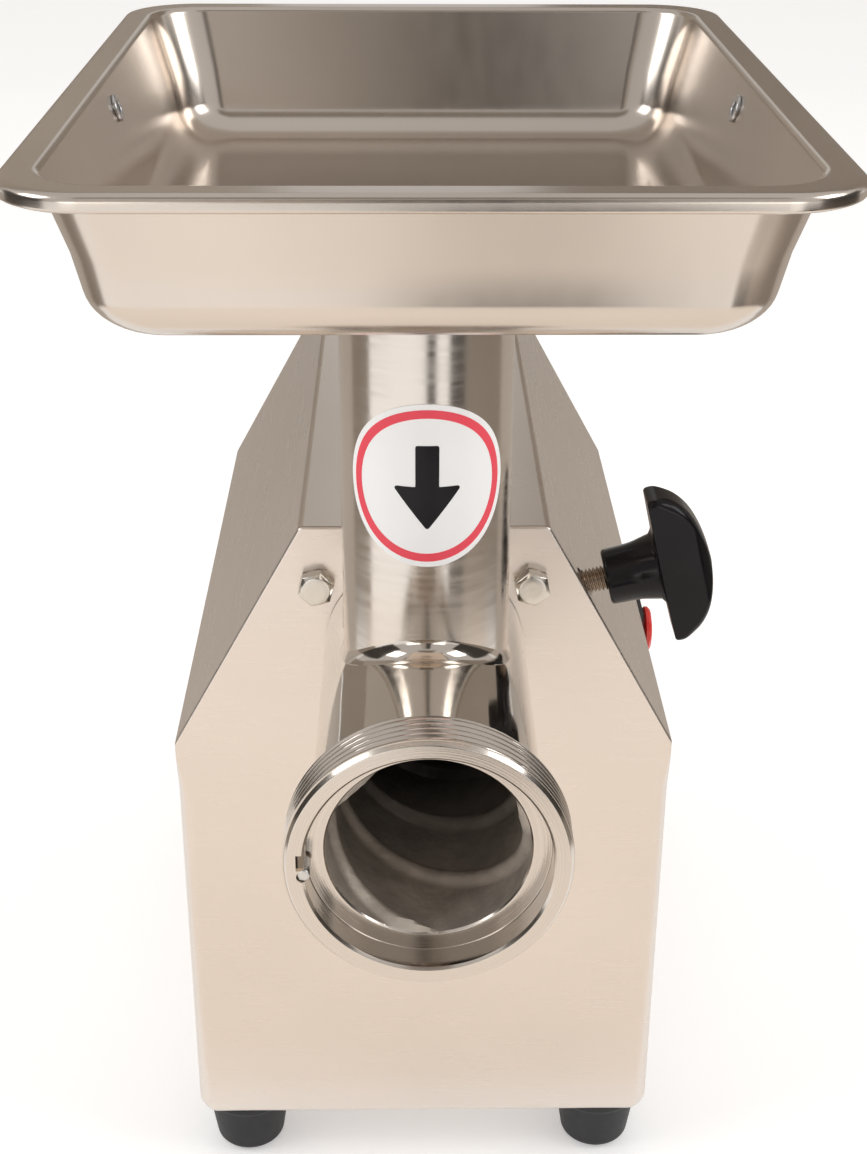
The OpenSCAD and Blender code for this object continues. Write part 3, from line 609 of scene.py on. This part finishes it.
def housing_stations(outline):
    """Every ring of the housing's skin, from the front face to the rear."""
    normals = outline_normals(outline)
    radii = [edge_rounding(abs(x), z) for x, z in outline]
    front, rear = PANEL_Y / MM, REAR_Y / MM
    steps = 7
    stations = [bend_ring(outline, normals, radii, math.pi / 2 * k / steps)
                for k in range(steps, -1, -1)]
    for gap in (0.02, 0.02 + SEAM_GAP):
        stations.append(straight_ring(outline, [front + radius + gap for radius in radii]))
    for y in (front + END_LIP, rear - END_LIP, rear):
        stations.append(straight_ring(outline, [y] * len(outline)))
    return stations


def is_housing_opening(face):
    """Whether a face of the skin lies in the opening underneath."""
    centre = face.calc_center_median()
    lip_x = SHELL_HIGH.x - SIDE_LIP * MM
    under = abs(centre.z - SHELL_LOW.z) < 1e-5 and abs(centre.x) < lip_x
    return under and PANEL_Y + END_LIP * MM < centre.y < REAR_Y - END_LIP * MM


def is_housing_seam(face):
    """Whether a face of the skin lies in the seam between the front and the slopes or top."""
    ys = [(vert.co.y - PANEL_Y) / MM for vert in face.verts]
    thin = max(ys) - min(ys) < SEAM_GAP + 0.2 and 0.8 < min(ys) and max(ys) < 2
    return thin and face.calc_center_median().z > (SHOULDER_Z + 1) * MM


def housing_skin():
    """The folded skin and its front: bent lower edges, crisp seams along the slopes."""
    points = housing_half_outline()[1:-1]
    outline = points + [(-x, z) for x, z in reversed(points)]
    bm = bmesh.new()
    rings = [add_ring(bm, station) for station in housing_stations(outline)]
    bridge_all(bm, rings)
    bm.faces.new(rings[0])
    doomed = [face for face in bm.faces if is_housing_opening(face) or is_housing_seam(face)]
    bmesh.ops.delete(bm, geom=doomed, context="FACES")
    obj = make_object("housing_skin", bm, M["housing"])
    thicken(obj, SHEET * MM)
    cut(
        obj,
        rod(axis_y(0, PANEL_Y, AXIS_Z), SPIGOT_R + 1, -6, 6),
        rod(clamp_place(), 6.3, -9, 6, 32),
    )
    smooth(obj, 28)
    return place_piece(obj, "base", "housing_steel", "housing_shell", "front_panel")


def foot(name, x, y):
    """A tapered rubber foot with a soft lower edge, a lip at the top and a screw well."""
    profile = filleted([
        (7, 11, 0), (7, 0.0, 0.8), (12, 0.0, 0.4), (15.6, 3.2, 4.5), (18.9, 25.5, 3), (20, 27, 1),
        (FOOT_R, FOOT_H, 0.6), (3.2, FOOT_H, 0.2), (3.2, 11, 0),
    ], steps=7)
    bm = bmesh.new()
    lathe(bm, profile, axis_z(x, y, 0), 72, closed=True)
    obj = make_object(name, bm, M["rubber"])
    smooth(obj, 50)
    return place_piece(obj, "base", "foot_rubber", "feet")


def feet():
    """The four feet, where the CAD feet stand."""
    low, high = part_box("feet")
    inset = FOOT_R * MM
    for row, y in (("front", low.y + inset), ("rear", high.y - inset)):
        for side, x in (("left", low.x + inset), ("right", high.x - inset)):
            foot(f"foot_{row}_{side}", x, y)


def flange_bolt(name, x, z):
    """A hexagon bolt head with its round chamfer, its collar and soft edges."""
    across, height, flat_r, segments = 13.0, 6.0, 5.6, 72
    place = Matrix.Translation((x, PANEL_Y, z)) @ Matrix.Diagonal((MM, MM, MM, 1))
    turn = math.radians(11) + (0.6 if x < 0 else 0.0)
    bm = bmesh.new()

    def ring(radius_at, y_at):
        spots = []
        for i in range(segments):
            angle = TURN * i / segments
            radius = radius_at(angle)
            x, z = radius * math.cos(angle + turn), radius * math.sin(angle + turn)
            spots.append(place @ Vector((x, y_at(radius), z)))
        return add_ring(bm, spots)

    def hexagon(angle):
        return across / 2 / math.cos((angle + math.pi / 6) % (math.pi / 3) - math.pi / 6)

    def chamfer(radius):
        return -height + 0.25 + (radius - flat_r) * math.tan(math.radians(28))

    rings = [
        ring(lambda a: flat_r * 0.55, lambda r: -height - 0.05),
        ring(lambda a: flat_r - 0.35, lambda r: -height),
        ring(lambda a: flat_r, lambda r: -height + 0.12),
        ring(lambda a: hexagon(a) - 0.25, chamfer),
        ring(lambda a: hexagon(a) - 0.04, lambda r: chamfer(r) + 0.18),
        ring(hexagon, lambda r: chamfer(r) + 0.5),
        ring(hexagon, lambda r: -0.9),
        ring(lambda a: hexagon(a) - 0.3, lambda r: -0.62),
        ring(lambda a: 6.3, lambda r: -0.6),
        ring(lambda a: 6.3, lambda r: 0.4),
    ]
    bridge_all(bm, rings)
    bm.faces.new(rings[0])
    bm.faces.new(rings[-1])
    obj = make_object(name, bm, M["zinc"])
    smooth(obj, 30)
    return place_piece(obj, "base", "zinc_hardware", "flange_bolts")


def flange_bolts():
    """The three bolts that hold the gearbox flange."""
    for name, degrees in (("right", 33), ("left", 147), ("bottom", 270)):
        angle = math.radians(degrees)
        arm = Vector((math.cos(angle), math.sin(angle))) * BOLT_CIRCLE * MM
        flange_bolt(f"flange_bolt_{name}", arm.x, AXIS_Z + arm.y)


# ---------------- head


def thread_depth(phase):
    """Depth of the thread at a phase from 0 to 1, with a flat crest and a round root."""
    distance = abs(phase % 1.0 - 0.5) * 2
    return smoothstep((distance - 0.22) / 0.62)


def collar_radius(along, share):
    """Radius of the collar's thread at a station and a share of a turn."""
    start, end = THREAD_START, THREAD_END
    edge = min(along - start, end - along) / 0.9
    phase = (along - start) / THREAD_PITCH - share
    return MOUTH_R / MM - 0.02 - THREAD_DEPTH * thread_depth(phase) * smoothstep(edge + 0.35)


def barrel_profiles():
    """The turned lines of the barrel: outside, mouth and back of the bore."""
    mouth_r = MOUTH_R / MM
    seat = MOUTH + PLATE_DEPTH
    outside = filleted([
        (JOURNAL_R, BACK_WALL, 0), (JOURNAL_R, SPIGOT_L, 0.6), (SPIGOT_R, SPIGOT_L, 1.0),
        (SPIGOT_R, 0.1, 0.5), (BARREL_R, 0.1, 1.2), (BARREL_R, MOUTH + COLLAR_L, 4.0),
        (mouth_r - 1.3, MOUTH + COLLAR_L, 1.0), (mouth_r - 0.5, THREAD_END, 0),
    ], steps=6)
    face = filleted([
        (mouth_r - 0.5, THREAD_START, 0), (mouth_r - 1.6, MOUTH, 0.5), (PLATE_R + 0.9, MOUTH, 0.25),
        (PLATE_R, MOUTH + 0.9, 0.2), (PLATE_R, seat, 0.3),
        (BORE_R + 0.6, seat, 0.3), (BORE_R, seat + 0.7, 0),
    ], steps=4)
    back = [(BORE_R, BACK_WALL - 0.01), (BORE_R - 0.01, BACK_WALL), (JOURNAL_R, BACK_WALL)]
    return outside, face, back


def head_barrel():
    """The barrel: polished outside, threaded collar, machined mouth, ribbed raw bore."""
    place = axis_y(0, PANEL_Y, AXIS_Z)
    segments = 192
    bm = bmesh.new()
    for profile in barrel_profiles():
        lathe(bm, profile, place, segments)
    for station in (THREAD_END, THREAD_START):
        # Short rings that join the thread's ends to the turned faces.
        inner = turned_ring(bm, place, station, lambda along, share: MOUTH_R / MM - 0.5, segments)
        bridge(bm, inner, turned_ring(bm, place, station, collar_radius, segments))
    threaded_grid(bm, place, THREAD_START, THREAD_END, 0.3, collar_radius, segments)
    threaded_grid(bm, place, MOUTH + PLATE_DEPTH + 0.7, BACK_WALL - 0.01, 1.25, bore_radius, segments)
    obj = make_object("barrel_casting", bm, [M["cast"], M["machined"], M["bore"], M["recess"]])
    for polygon in obj.data.polygons:
        polygon.material_index = barrel_finish(polygon.center)
    mouth, axis = MOUTH_Y / MM, AXIS_Z / MM
    cut(
        obj,
        rod(axis_z(0, TUBE_Y, AXIS_Z), TUBE_R / MM - TUBE_WALL - 0.05, 0, 60, 96),
        block((-PLATE_R - 2.4, mouth - 1, axis - 1.2), (-PLATE_R + 3, mouth + 5, axis + 4.8)),
        rod(key_place(), KEY_R + 0.1, -1, 9, 24),
        spigot_flat(),
    )
    smooth(obj, 34)
    return place_piece(obj, "head", "polished_cast_steel", "head_barrel")


def turned_ring(bm, place, along, radius_at, segments):
    """A ring at a station whose radius follows a function of the station and the share of a turn."""
    spots = []
    for i in range(segments):
        radius, angle = radius_at(along, i / segments), TURN * i / segments
        spots.append(place @ Vector((radius * math.cos(angle), radius * math.sin(angle), along)))
    return add_ring(bm, spots)


def threaded_grid(bm, place, start, end, step, radius_at, segments):
    """A fine tube between two stations whose radius follows a function of place and angle."""
    count = max(2, round(abs(end - start) / step))
    stations = [mix(start, end, row / count) for row in range(count + 1)]
    bridge_all(bm, [turned_ring(bm, place, along, radius_at, segments) for along in stations])


def bore_radius(along, share):
    """Radius of the bore with its helical ribs. Local angle runs clockwise seen from the front."""
    depth = along - MOUTH - PLATE_DEPTH
    angle_seen = 360 * (1 - share)
    first_rib = 25 - RIB_LEAD * (angle_seen - 180) / 360
    spacing = RIB_LEAD / RIB_STARTS
    offset = (depth - first_rib) / spacing
    distance = abs(offset - round(offset)) * spacing
    ridge = 1 - smoothstep((distance - 0.9) / (RIB_WIDTH / 2))
    fade = smoothstep((depth - 0.7) / 2.0) * smoothstep((BACK_WALL - 1 - along) / 4)
    return BORE_R - RIB_HEIGHT * ridge * fade


def barrel_finish(centre):
    """0 polished outside, 1 machined, 2 raw bore, 3 plate recess in a darker steel as painted shade, for a face of
    the barrel.
    """
    radius = math.hypot(centre.x, centre.z - AXIS_Z) / MM
    depth = (centre.y - MOUTH_Y) / MM
    in_bore = depth > PLATE_DEPTH + 0.6 and radius < BORE_R + 0.3
    if in_bore and centre.y < PANEL_Y + BACK_WALL * MM + 1e-4:
        return 2
    if depth < PLATE_DEPTH - 0.1 and radius < PLATE_R + 0.2:
        return 3
    if depth < COLLAR_L + 0.2 and radius > BORE_R:
        return 1
    if centre.y > PANEL_Y + 0.5 * MM or radius < JOURNAL_R + 1:
        return 1
    return 0


def spigot_flat():
    """The flat on the spigot that the clamp presses on, as a cutter."""
    bm = block((24.5, 1.5, -25), (45, SPIGOT_L + 1, 25))
    turn = Matrix.Translation((0, PANEL_Y, AXIS_Z)) @ Matrix.Rotation(-CLAMP_TILT, 4, "Y")
    bmesh.ops.transform(bm, matrix=turn, verts=bm.verts)
    return bm


def key_place():
    """The place of the key pin, in the left side of the plate recess."""
    return axis_y(-PLATE_R * MM, MOUTH_Y, AXIS_Z - KEY_DROP * MM)


def key_pin():
    """The round pin that keys the cutting plate, with a domed end."""
    profile = filleted([(0, 0.8, 0), (KEY_R, 0.8, 0.7), (KEY_R, 9, 0), (0, 9, 0)], steps=6)
    bm = bmesh.new()
    lathe(bm, profile, key_place(), 40)
    obj = make_object("key_pin", bm, M["ground"])
    smooth(obj, 40)
    return place_piece(obj, "head", "ground_steel", "plate_key_pin")


def weld_arc(angle):
    """The rolling-ball fillet between tube and barrel at an angle round the tube, in mm."""
    tube_r = TUBE_R / MM
    reach = tube_r + WELD_R
    ball = Vector((reach * math.cos(angle), reach * math.sin(angle), 0))
    ball.z = math.sqrt((BARREL_R + WELD_R) ** 2 - ball.x ** 2)
    tube_side = Vector((tube_r * math.cos(angle), tube_r * math.sin(angle), ball.z))
    share = BARREL_R / (BARREL_R + WELD_R)
    barrel_side = Vector((ball.x * share, ball.y, ball.z * share))
    return [ball + arm for arm in arc(tube_side - ball, barrel_side - ball, 10)]


def feed_tube():
    """The tube with its bore, standing on the barrel's saddle."""
    segments, tube_r = 144, TUBE_R / MM
    inner_r = tube_r - TUBE_WALL
    top = (TUBE_HIGH.z - AXIS_Z) / MM
    place = axis_z(0, TUBE_Y, AXIS_Z)
    saddle = [(x, y, weld_arc(TURN * i / segments)[0].z)
              for i, (x, y) in enumerate(circle_points(tube_r, segments))]
    levels = [saddle]
    rim = [(tube_r, top - 0.5), (tube_r - 0.15, top - 0.15), (tube_r - 0.5, top),
           (inner_r + 0.5, top), (inner_r, top - 0.4)]
    for radius, z in rim:
        levels.append([(x, y, z) for x, y in circle_points(radius, segments)])
    levels.append([(x, y, max(math.sqrt(BORE_R ** 2 - x ** 2) + 1, 19.0))
                   for x, y in circle_points(inner_r, segments)])
    bm = bmesh.new()
    bridge_all(bm, [add_ring(bm, [place @ Vector(spot) for spot in level]) for level in levels])
    obj = make_object("feed_tube_wall", bm, M["tube"])
    smooth(obj, 40)
    return place_piece(obj, "head", "tube_steel", "feed_tube")


def weld_column(angle):
    """The bead's section at an angle round the tube, slightly proud, with both edges tucked in."""
    fillet = weld_arc(angle)
    away = Vector((math.cos(angle), math.sin(angle), 0))
    outward = (away + Vector((0, 0, 0.6))).normalized()
    proud = [point + outward * 0.25 * math.sin(math.pi * k / (len(fillet) - 1))
             for k, point in enumerate(fillet)]
    return [fillet[0] - away * 0.6, *proud, fillet[-1] - Vector((0, 0, 1.2))]


def weld():
    """The polished fillet where the tube meets the barrel."""
    segments = 144
    place = axis_z(0, TUBE_Y, AXIS_Z)
    bm = bmesh.new()
    columns = [add_ring(bm, [place @ point for point in weld_column(TURN * i / segments)])
               for i in range(segments)]
    for i in range(segments):
        bridge(bm, columns[i], columns[(i + 1) % segments], closed=False)
    obj = make_object("tube_weld", bm, M["weld"])
    smooth(obj, 50)
    return place_piece(obj, "head", "polished_cast_steel")


# ---------------- label


def on_tube(across, up, lift):
    """A flat label point, in mm, wrapped on the front of the tube and lifted off it."""
    angle = across / (TUBE_R / MM)
    radius = TUBE_R + lift * MM
    return Vector((radius * math.sin(angle), TUBE_Y - radius * math.cos(angle), LABEL_Z + up * MM))


def film(name, outline, lift, finish, *stands_for):
    """A film shape: an outline of (across, up) points, gridded so that it follows the tube."""
    grid, underside = 1.5, 0.02
    bm = bmesh.new()
    bm.faces.new([bm.verts.new(Vector((x, y, 0))) for x, y in outline])
    low, high = min(x for x, y in outline), max(x for x, y in outline)
    station = low + grid
    while station < high:
        geometry = bm.verts[:] + bm.edges[:] + bm.faces[:]
        bmesh.ops.bisect_plane(bm, geom=geometry, plane_co=(station, 0, 0), plane_no=(1, 0, 0))
        station += grid
    bmesh.ops.triangulate(bm, faces=bm.faces)
    extruded = bmesh.ops.extrude_face_region(bm, geom=bm.faces[:])
    upper = {v for v in extruded["geom"] if isinstance(v, bmesh.types.BMVert)}
    for vert in bm.verts:
        vert.co = on_tube(vert.co.x, vert.co.y, lift if vert in upper else underside)
    obj = make_object(name, bm, finish)
    smooth(obj, 40)
    return place_piece(obj, "head", "label_film", *stands_for)


def ring_outline(outer, inner, start, end):
    """Part of a flat ring between two angles in degrees."""
    steps = 40
    angles = [math.radians(mix(start, end, i / steps)) for i in range(steps + 1)]
    out = [(outer * math.cos(a), outer * math.sin(a)) for a in angles]
    return out + [(inner * math.cos(a), inner * math.sin(a)) for a in reversed(angles)]


def label():
    """A plain round sticker: white disc, border line and a down arrow for the feed direction."""
    radius = (LABEL_HIGH.z - LABEL_LOW.z) / 2 / MM
    shaft, head, top, tip = 4, 12, 15, -16
    film("label_disc", circle_points(radius, 96), 0.22, M["film_white"], "hand_guard_label")
    for side, (start, end) in (("right", (-90, 90)), ("left", (90, 270))):
        border = ring_outline(radius - 2, radius - 5, start, end)
        film(f"label_border_{side}", border, 0.30, M["film_red"])
    arrow = [(-shaft, top, 0.8), (-shaft, 0, 0.3), (-head, 0, 0.8), (0, tip, 0.8),
             (head, 0, 0.8), (shaft, 0, 0.3), (shaft, top, 0.8)]
    film("label_arrow", filleted(arrow, 4, closed=True), 0.30, M["film_black"])


# ---------------- tray


def tray_stations():
    """The tray's upper surface from the rolled rim to the floor, as (inset, z, corner radius)."""
    slope = math.tan(TRAY_DRAFT)
    run = RIM_W + RIM_FLARE + TRAY_DEPTH * slope
    middle = (RIM_W + RIM_FLARE + TRAY_DEPTH * slope * 0.5, -TRAY_DEPTH * 0.5, 0)
    rim = filleted([(1.6, -5.4, 0), (0.0, -4.6, 0.9), (0.0, 0.0, 2.4), (RIM_W - 1.0, 0.0, 2.6),
                    middle], steps=7)
    bend = filleted([middle, (run, -TRAY_DEPTH, TRAY_BEND), (run + 30, -TRAY_DEPTH, 0)], steps=12)
    stations = []
    for inset, z in rim + bend[1:-1]:
        share = min(1.0, -z / TRAY_DEPTH)
        corner = 25 - min(inset, RIM_W) * 0.5 if inset <= RIM_W else mix(19.0, 15.0, share)
        floor_share = smoothstep((inset - run) / TRAY_BEND)
        stations.append((inset, z, mix(corner, 8.0, floor_share)))
    return stations


def tray():
    """The pressed tray: rolled rim, sloping walls, round bends and the hole for the spout."""
    half_x, half_y = TRAY_HIGH.x / MM, (TRAY_HIGH.y - TRAY_LOW.y) / 2 / MM
    place = axis_z(0, TRAY_Y, TRAY_HIGH.z)
    levels = []
    for inset, z, corner in tray_stations():
        outline = rounded_rect(half_x - inset, half_y - inset, corner, 12)
        levels.append([(x, y, z) for x, y in outline])
    hole = [Vector(spot).normalized() * SPOUT_R for spot in outline]
    levels.append([(x, y, -TRAY_DEPTH) for x, y in hole])
    bm = bmesh.new()
    bridge_all(bm, [add_ring(bm, [place @ Vector(spot) for spot in level]) for level in levels])
    obj = make_object("tray_sheet", bm, M["tray"])
    if obj.data.polygons[-1].normal.z < 0:
        obj.data.flip_normals()
    thicken(obj, TRAY_SHEET * MM)
    cut(obj, *[rod(eyelet_place(side), 3, -6, 6, 32) for side in (-1, 1)])
    smooth(obj, 40)
    return place_piece(obj, "tray", "tray_steel", "tray_pan")


def eyelet_place(side):
    """The place of an eyelet: local Z square to the tray's side wall, towards the outside."""
    half_depth = TRAY_DEPTH / 2
    lean = (1.0 + RIM_FLARE + half_depth * math.tan(TRAY_DRAFT)) / half_depth
    x = side * (TRAY_HIGH.x - (RIM_W - 1.0 + EYELET_DROP * lean) * MM)
    turn = Matrix.Rotation(side * (math.pi / 2 + math.atan(lean)), 4, "Y")
    return millimetres(Matrix.Translation((x, TRAY_Y, TRAY_HIGH.z - EYELET_DROP * MM)), turn)


def eyelets():
    """The two hollow rivets in the tray's side walls."""
    profile = filleted([
        (2.1, -1.2, 0.5), (4.4, -1.2, 0.55), (4.4, -0.1, 0.2), (2.9, -0.1, 0),
        (2.9, 1.3, 0), (4.4, 1.3, 0.2), (4.4, 2.2, 0.45), (2.1, 2.2, 0.5),
    ], steps=5, closed=True)
    for side, name in ((-1, "eyelet_left"), (1, "eyelet_right")):
        bm = bmesh.new()
        lathe(bm, profile, eyelet_place(side), 40, closed=True)
        obj = make_object(name, bm, M["bearing"])
        smooth(obj, 40)
        place_piece(obj, "tray", "ground_steel", "tray_eyelets")


def spout():
    """The short spout under the tray, with the weld bead round its head."""
    foot_z, inner_r = -TRAY_DEPTH - 24.4, SPOUT_R - 1.2
    profile = filleted([
        (SPOUT_R, foot_z, 0.4), (SPOUT_R, -TRAY_DEPTH - 1.8, 0), (SPOUT_R + 1.5, -TRAY_DEPTH - 1.3, 0),
        (SPOUT_R + 0.6, -TRAY_DEPTH + 0.15, 0.4), (inner_r, -TRAY_DEPTH + 0.05, 0.5),
        (inner_r, foot_z, 0.4),
    ], steps=4, closed=True)
    bm = bmesh.new()
    lathe(bm, profile, axis_z(0, TRAY_Y, TRAY_HIGH.z), 96, closed=True)
    obj = make_object("spout_ring", bm, M["tray"])
    smooth(obj, 40)
    return place_piece(obj, "tray", "tray_steel", "tray_spout")


# ---------------- clamp


def clamp_place():
    """The place of the clamp screw: local Z outwards along it, local Y to the back."""
    return axis_x(*CLAMP["pos_m"], CLAMP_TILT)


def knob_stations():
    """The knob from the collar's end to the tip: (along, half length, half thickness, corner)."""
    gap, collar_l, wing_depth, half_wing = 8.6, 21.0, 21.3, 32.0
    collar_r, half_wing_t, edge = 13.4, 9.0, 5.0
    start, tip = gap + collar_l, gap + collar_l + wing_depth
    collar = filleted([(gap, 6.2, 0), (gap, 11.2, 1.6), (gap + 12, 11.6, 30),
                       (start - 1.0, collar_r, 0)], 6)
    stations = [(along, radius, radius, radius) for along, radius in collar]
    flare = filleted([(start - 1.0, collar_r, 0), (start + 0.5, 15.5, 5),
                      (start + 0.9, half_wing - 0.6, 2.2), (start + 3.6, half_wing - 0.4, 0)], 7)
    for along, half in flare[1:]:
        thick = mix(collar_r, half_wing_t, smoothstep((half - collar_r) / 5))
        stations.append((along, half, thick, mix(collar_r, 2.4, smoothstep((half - collar_r) / 7))))
    base, steps = stations[-1][0], 26
    for k in range(1, steps + 1):
        angle = math.pi / 2 * k / (steps + 0.5)
        along, half = mix(base, tip, math.sin(angle)), (half_wing - 0.4) * math.cos(angle)
        rounding = edge - min(edge, tip - along)
        thick = half_wing_t - edge + math.sqrt(edge ** 2 - rounding ** 2)
        stations.append((along, half, thick, min(mix(2.4, edge, smoothstep(k / 6)), half)))
    return stations


def knob():
    """The black wing knob: a round collar that flows into a half-moon wing."""
    place = clamp_place()
    bm = bmesh.new()
    rings = []
    for along, half, thick, corner in knob_stations():
        spots = rounded_rect(half, thick, min(corner, half, thick))
        rings.append(add_ring(bm, [place @ Vector((a, b, along)) for a, b in spots]))
    bridge_all(bm, rings)
    bm.faces.new(rings[0])
    bm.faces.new(rings[-1])
    obj = make_object("wing_knob", bm, M["knob"])
    smooth(obj, 50)
    return place_piece(obj, "clamp_screw", "black_gloss_plastic", "clamp_knob")


def stud():
    """The clamp screw: a rolled thread outside, a plain tip inside."""
    place = clamp_place()
    pitch, radius, depth = 1.5, 5.0, 1.0
    tip, step, thread_end, end = -42.0, -15.0, 9.5, 28.0
    core = radius - 0.2

    def radius_at(along, share):
        phase = (along - step) / pitch - share
        return radius - depth * thread_depth(phase)

    bm = bmesh.new()
    lathe(bm, [(0, tip), (2.4, tip), (3, tip + 0.6), (3, step), (0, step)], place, 36)
    threaded_grid(bm, place, step, thread_end, 0.19, radius_at, 40)
    lathe(bm, [(0, thread_end), (core, thread_end), (core, end), (0, end)], place, 36)
    obj = make_object("stud_thread", bm, M["stud"])
    smooth(obj, 60)
    return place_piece(obj, "clamp_screw", "zinc_hardware", "clamp_stud")


# ---------------- studio


def light(name, at, towards, size, power):
    """A soft rectangular lamp that points at a place."""
    data = bpy.data.lights.new(name, "AREA")
    data.shape = "RECTANGLE"
    data.size, data.size_y = size
    data.energy = power
    obj = bpy.data.objects.new(name, data)
    obj.location = at
    obj.rotation_euler = (Vector(towards) - Vector(at)).to_track_quat("-Z", "Y").to_euler()
    bpy.context.scene.collection.objects.link(obj)
    return obj


def plain(name, color, glow):
    """A plain stage material, which can also glow."""
    finish = Finish(name, color, 0.9)
    finish.tint(finish.noise(2), tuple(0.99 * c for c in color))
    if glow:
        finish.set("Emission Color", (*color, 1))
        finish.set("Emission Strength", glow)
    return finish.material


def card(name, corners, color, glow, seen=False):
    """A flat stage card through its corners, seen in reflections only unless seen is set."""
    mesh = bpy.data.meshes.new(name)
    mesh.from_pydata(corners, [], [tuple(range(len(corners)))])
    obj = bpy.data.objects.new(name, mesh)
    mesh.materials.append(plain(name, color, glow))
    bpy.context.scene.collection.objects.link(obj)
    obj.visible_camera = seen
    obj.visible_diffuse = seen
    obj.visible_shadow = seen
    return obj


def around_tube(radius, bearing):
    """X and Y of a point round the tube, at a bearing in degrees from the front."""
    angle = math.radians(bearing)
    return radius * math.sin(angle), TUBE_Y - radius * math.cos(angle)


def sector(name, start, end, inner, outer, color, glow):
    """A flat card on the floor round the tube, between two bearings."""
    bearings = [mix(start, end, i / 12) for i in range(13)]
    rims = [[(*around_tube(radius, bearing), 0.002) for bearing in bearings]
            for radius in (inner, outer)]
    return card(name, rims[0] + rims[1][::-1], color, glow)


def screen(name, start, end, distance, low, high, color, glow):
    """An upright card facing the machine, between two bearings."""
    left, right = around_tube(distance, start), around_tube(distance, end)
    return card(name, [(*left, low), (*right, low), (*right, high), (*left, high)], color, glow)


def studio():
    """A white floor and surround, soft lamps, and the cards that metal shows as bands."""
    reach = 9
    card("floor", [(-reach, -reach, 0), (reach, -reach, 0), (reach, reach, 0), (-reach, reach, 0)],
         (0.90, 0.90, 0.90), glow=0.36, seen=True)
    for name, *values in FLOOR_CARDS:
        sector(f"card_{name}", *values)
    for name, *values in ROOM_CARDS:
        screen(f"card_{name}", *values)
    world = bpy.data.worlds.new("studio")
    bpy.context.scene.world = world
    world.use_nodes = True
    background = world.node_tree.nodes["Background"]
    background.inputs["Color"].default_value = (1.0, 0.965, 0.93, 1)
    background.inputs["Strength"].default_value = 0.62
    for name, x in (("lamp_left", -2.1), ("lamp_right", 2.1)):
        light(name, (x, -0.7, 1.9), (0, -0.1, 0.3), (1.2, 1.2), 17)
    light("lamp_top", (0, 0.3, 2.6), (0, 0, 0.3), (1.2, 0.9), 7).visible_glossy = False
    bpy.context.scene.view_settings.view_transform = "Standard"


DARK = (0.05, 0.045, 0.04)
BROWN = (0.30, 0.26, 0.22)
TAN = (0.56, 0.51, 0.46)
SAND = (0.50, 0.45, 0.40)
OLIVE = (0.42, 0.38, 0.33)
PALE = (0.88, 0.815, 0.75)
WHITE = (1.0, 0.98, 0.95)
FLOOR_CARDS = (
    # name, bearings, inner and outer radius, colour, glow
    ("floor_near_left", -90, 0, 0.0, 0.62, PALE, 0.32),
    ("floor_near_right", 0, 90, 0.0, 0.62, PALE, 0.32),
    ("floor_far_left", -112, -79, 0.62, 2.4, BROWN, 0.0),
    ("floor_back_left", -172, -112, 0.5, 2.6, TAN, 0.0),
    ("floor_back_right", 112, 172, 0.5, 2.6, TAN, 0.0),
    ("floor_centre", 0, 12, 0.62, 2.4, DARK, 0.0),
    ("floor_right", 29, 50, 0.62, 2.4, DARK, 0.0),
    ("floor_far_right", 50, 112, 0.62, 2.4, BROWN, 0.0),
)
ROOM_CARDS = (
    # name, bearings, distance, height from and to, colour, glow
    ("behind_camera_left", -9, -1, 2.9, 0.1, 2.6, SAND, 0.0),
    ("behind_camera_right", -1, 8, 2.9, 0.1, 2.6, DARK, 0.0),
    ("softbox_left", -31, -10, 2.9, 0.05, 0.75, WHITE, 1.6),
    ("softbox_right", 11, 30, 2.9, 0.05, 0.75, WHITE, 1.6),
    ("side_left", -110, -50, 2.0, 0.0, 1.2, DARK, 0.0),
    ("side_right", 50, 110, 2.0, 0.0, 1.2, DARK, 0.0),
    ("back_left", -175, -120, 3.0, 0.85, 3.2, OLIVE, 0.0),
    ("back_right", 120, 175, 3.0, 0.85, 3.2, BROWN, 0.0),
    ("back_low_left", -175, -125, 3.1, 0.02, 0.9, BROWN, 0.0),
    ("back_low_right", 125, 175, 3.1, 0.02, 0.9, BROWN, 0.0),
    ("above_camera", -22, 22, 2.4, 2.6, 4.5, BROWN, 0.0),
)


def camera():
    """The camera at the photograph's angle."""
    data = bpy.data.cameras.new("camera")
    data.sensor_width = 36
    data.sensor_fit = "AUTO"
    data.lens = 56.53
    obj = bpy.data.objects.new("camera", data)
    pitch, yaw, roll = math.radians(26.34), math.radians(0.986), math.radians(0.27)
    level_forward = Vector((math.sin(yaw), math.cos(yaw), 0))
    forward = level_forward * math.cos(pitch) - Vector((0, 0, math.sin(pitch)))
    level = Vector((math.cos(yaw), -math.sin(yaw), 0))
    right = level * math.cos(roll) + level.cross(forward) * math.sin(roll)
    up = right.cross(forward)
    turn = Matrix((right, up, -forward)).transposed().to_4x4()
    place = Vector((-7.4 * MM, PANEL_Y - 641.4 * MM, 624.05 * MM))
    obj.matrix_world = Matrix.Translation(place) @ turn
    bpy.context.scene.collection.objects.link(obj)
    bpy.context.scene.camera = obj


# ---------------- everything

camera()
studio()
finish_cad_nodes()
housing_skin()
feet()
flange_bolts()
head_barrel()
key_pin()
feed_tube()
weld()
label()
tray()
eyelets()
spout()
knob()
stud()
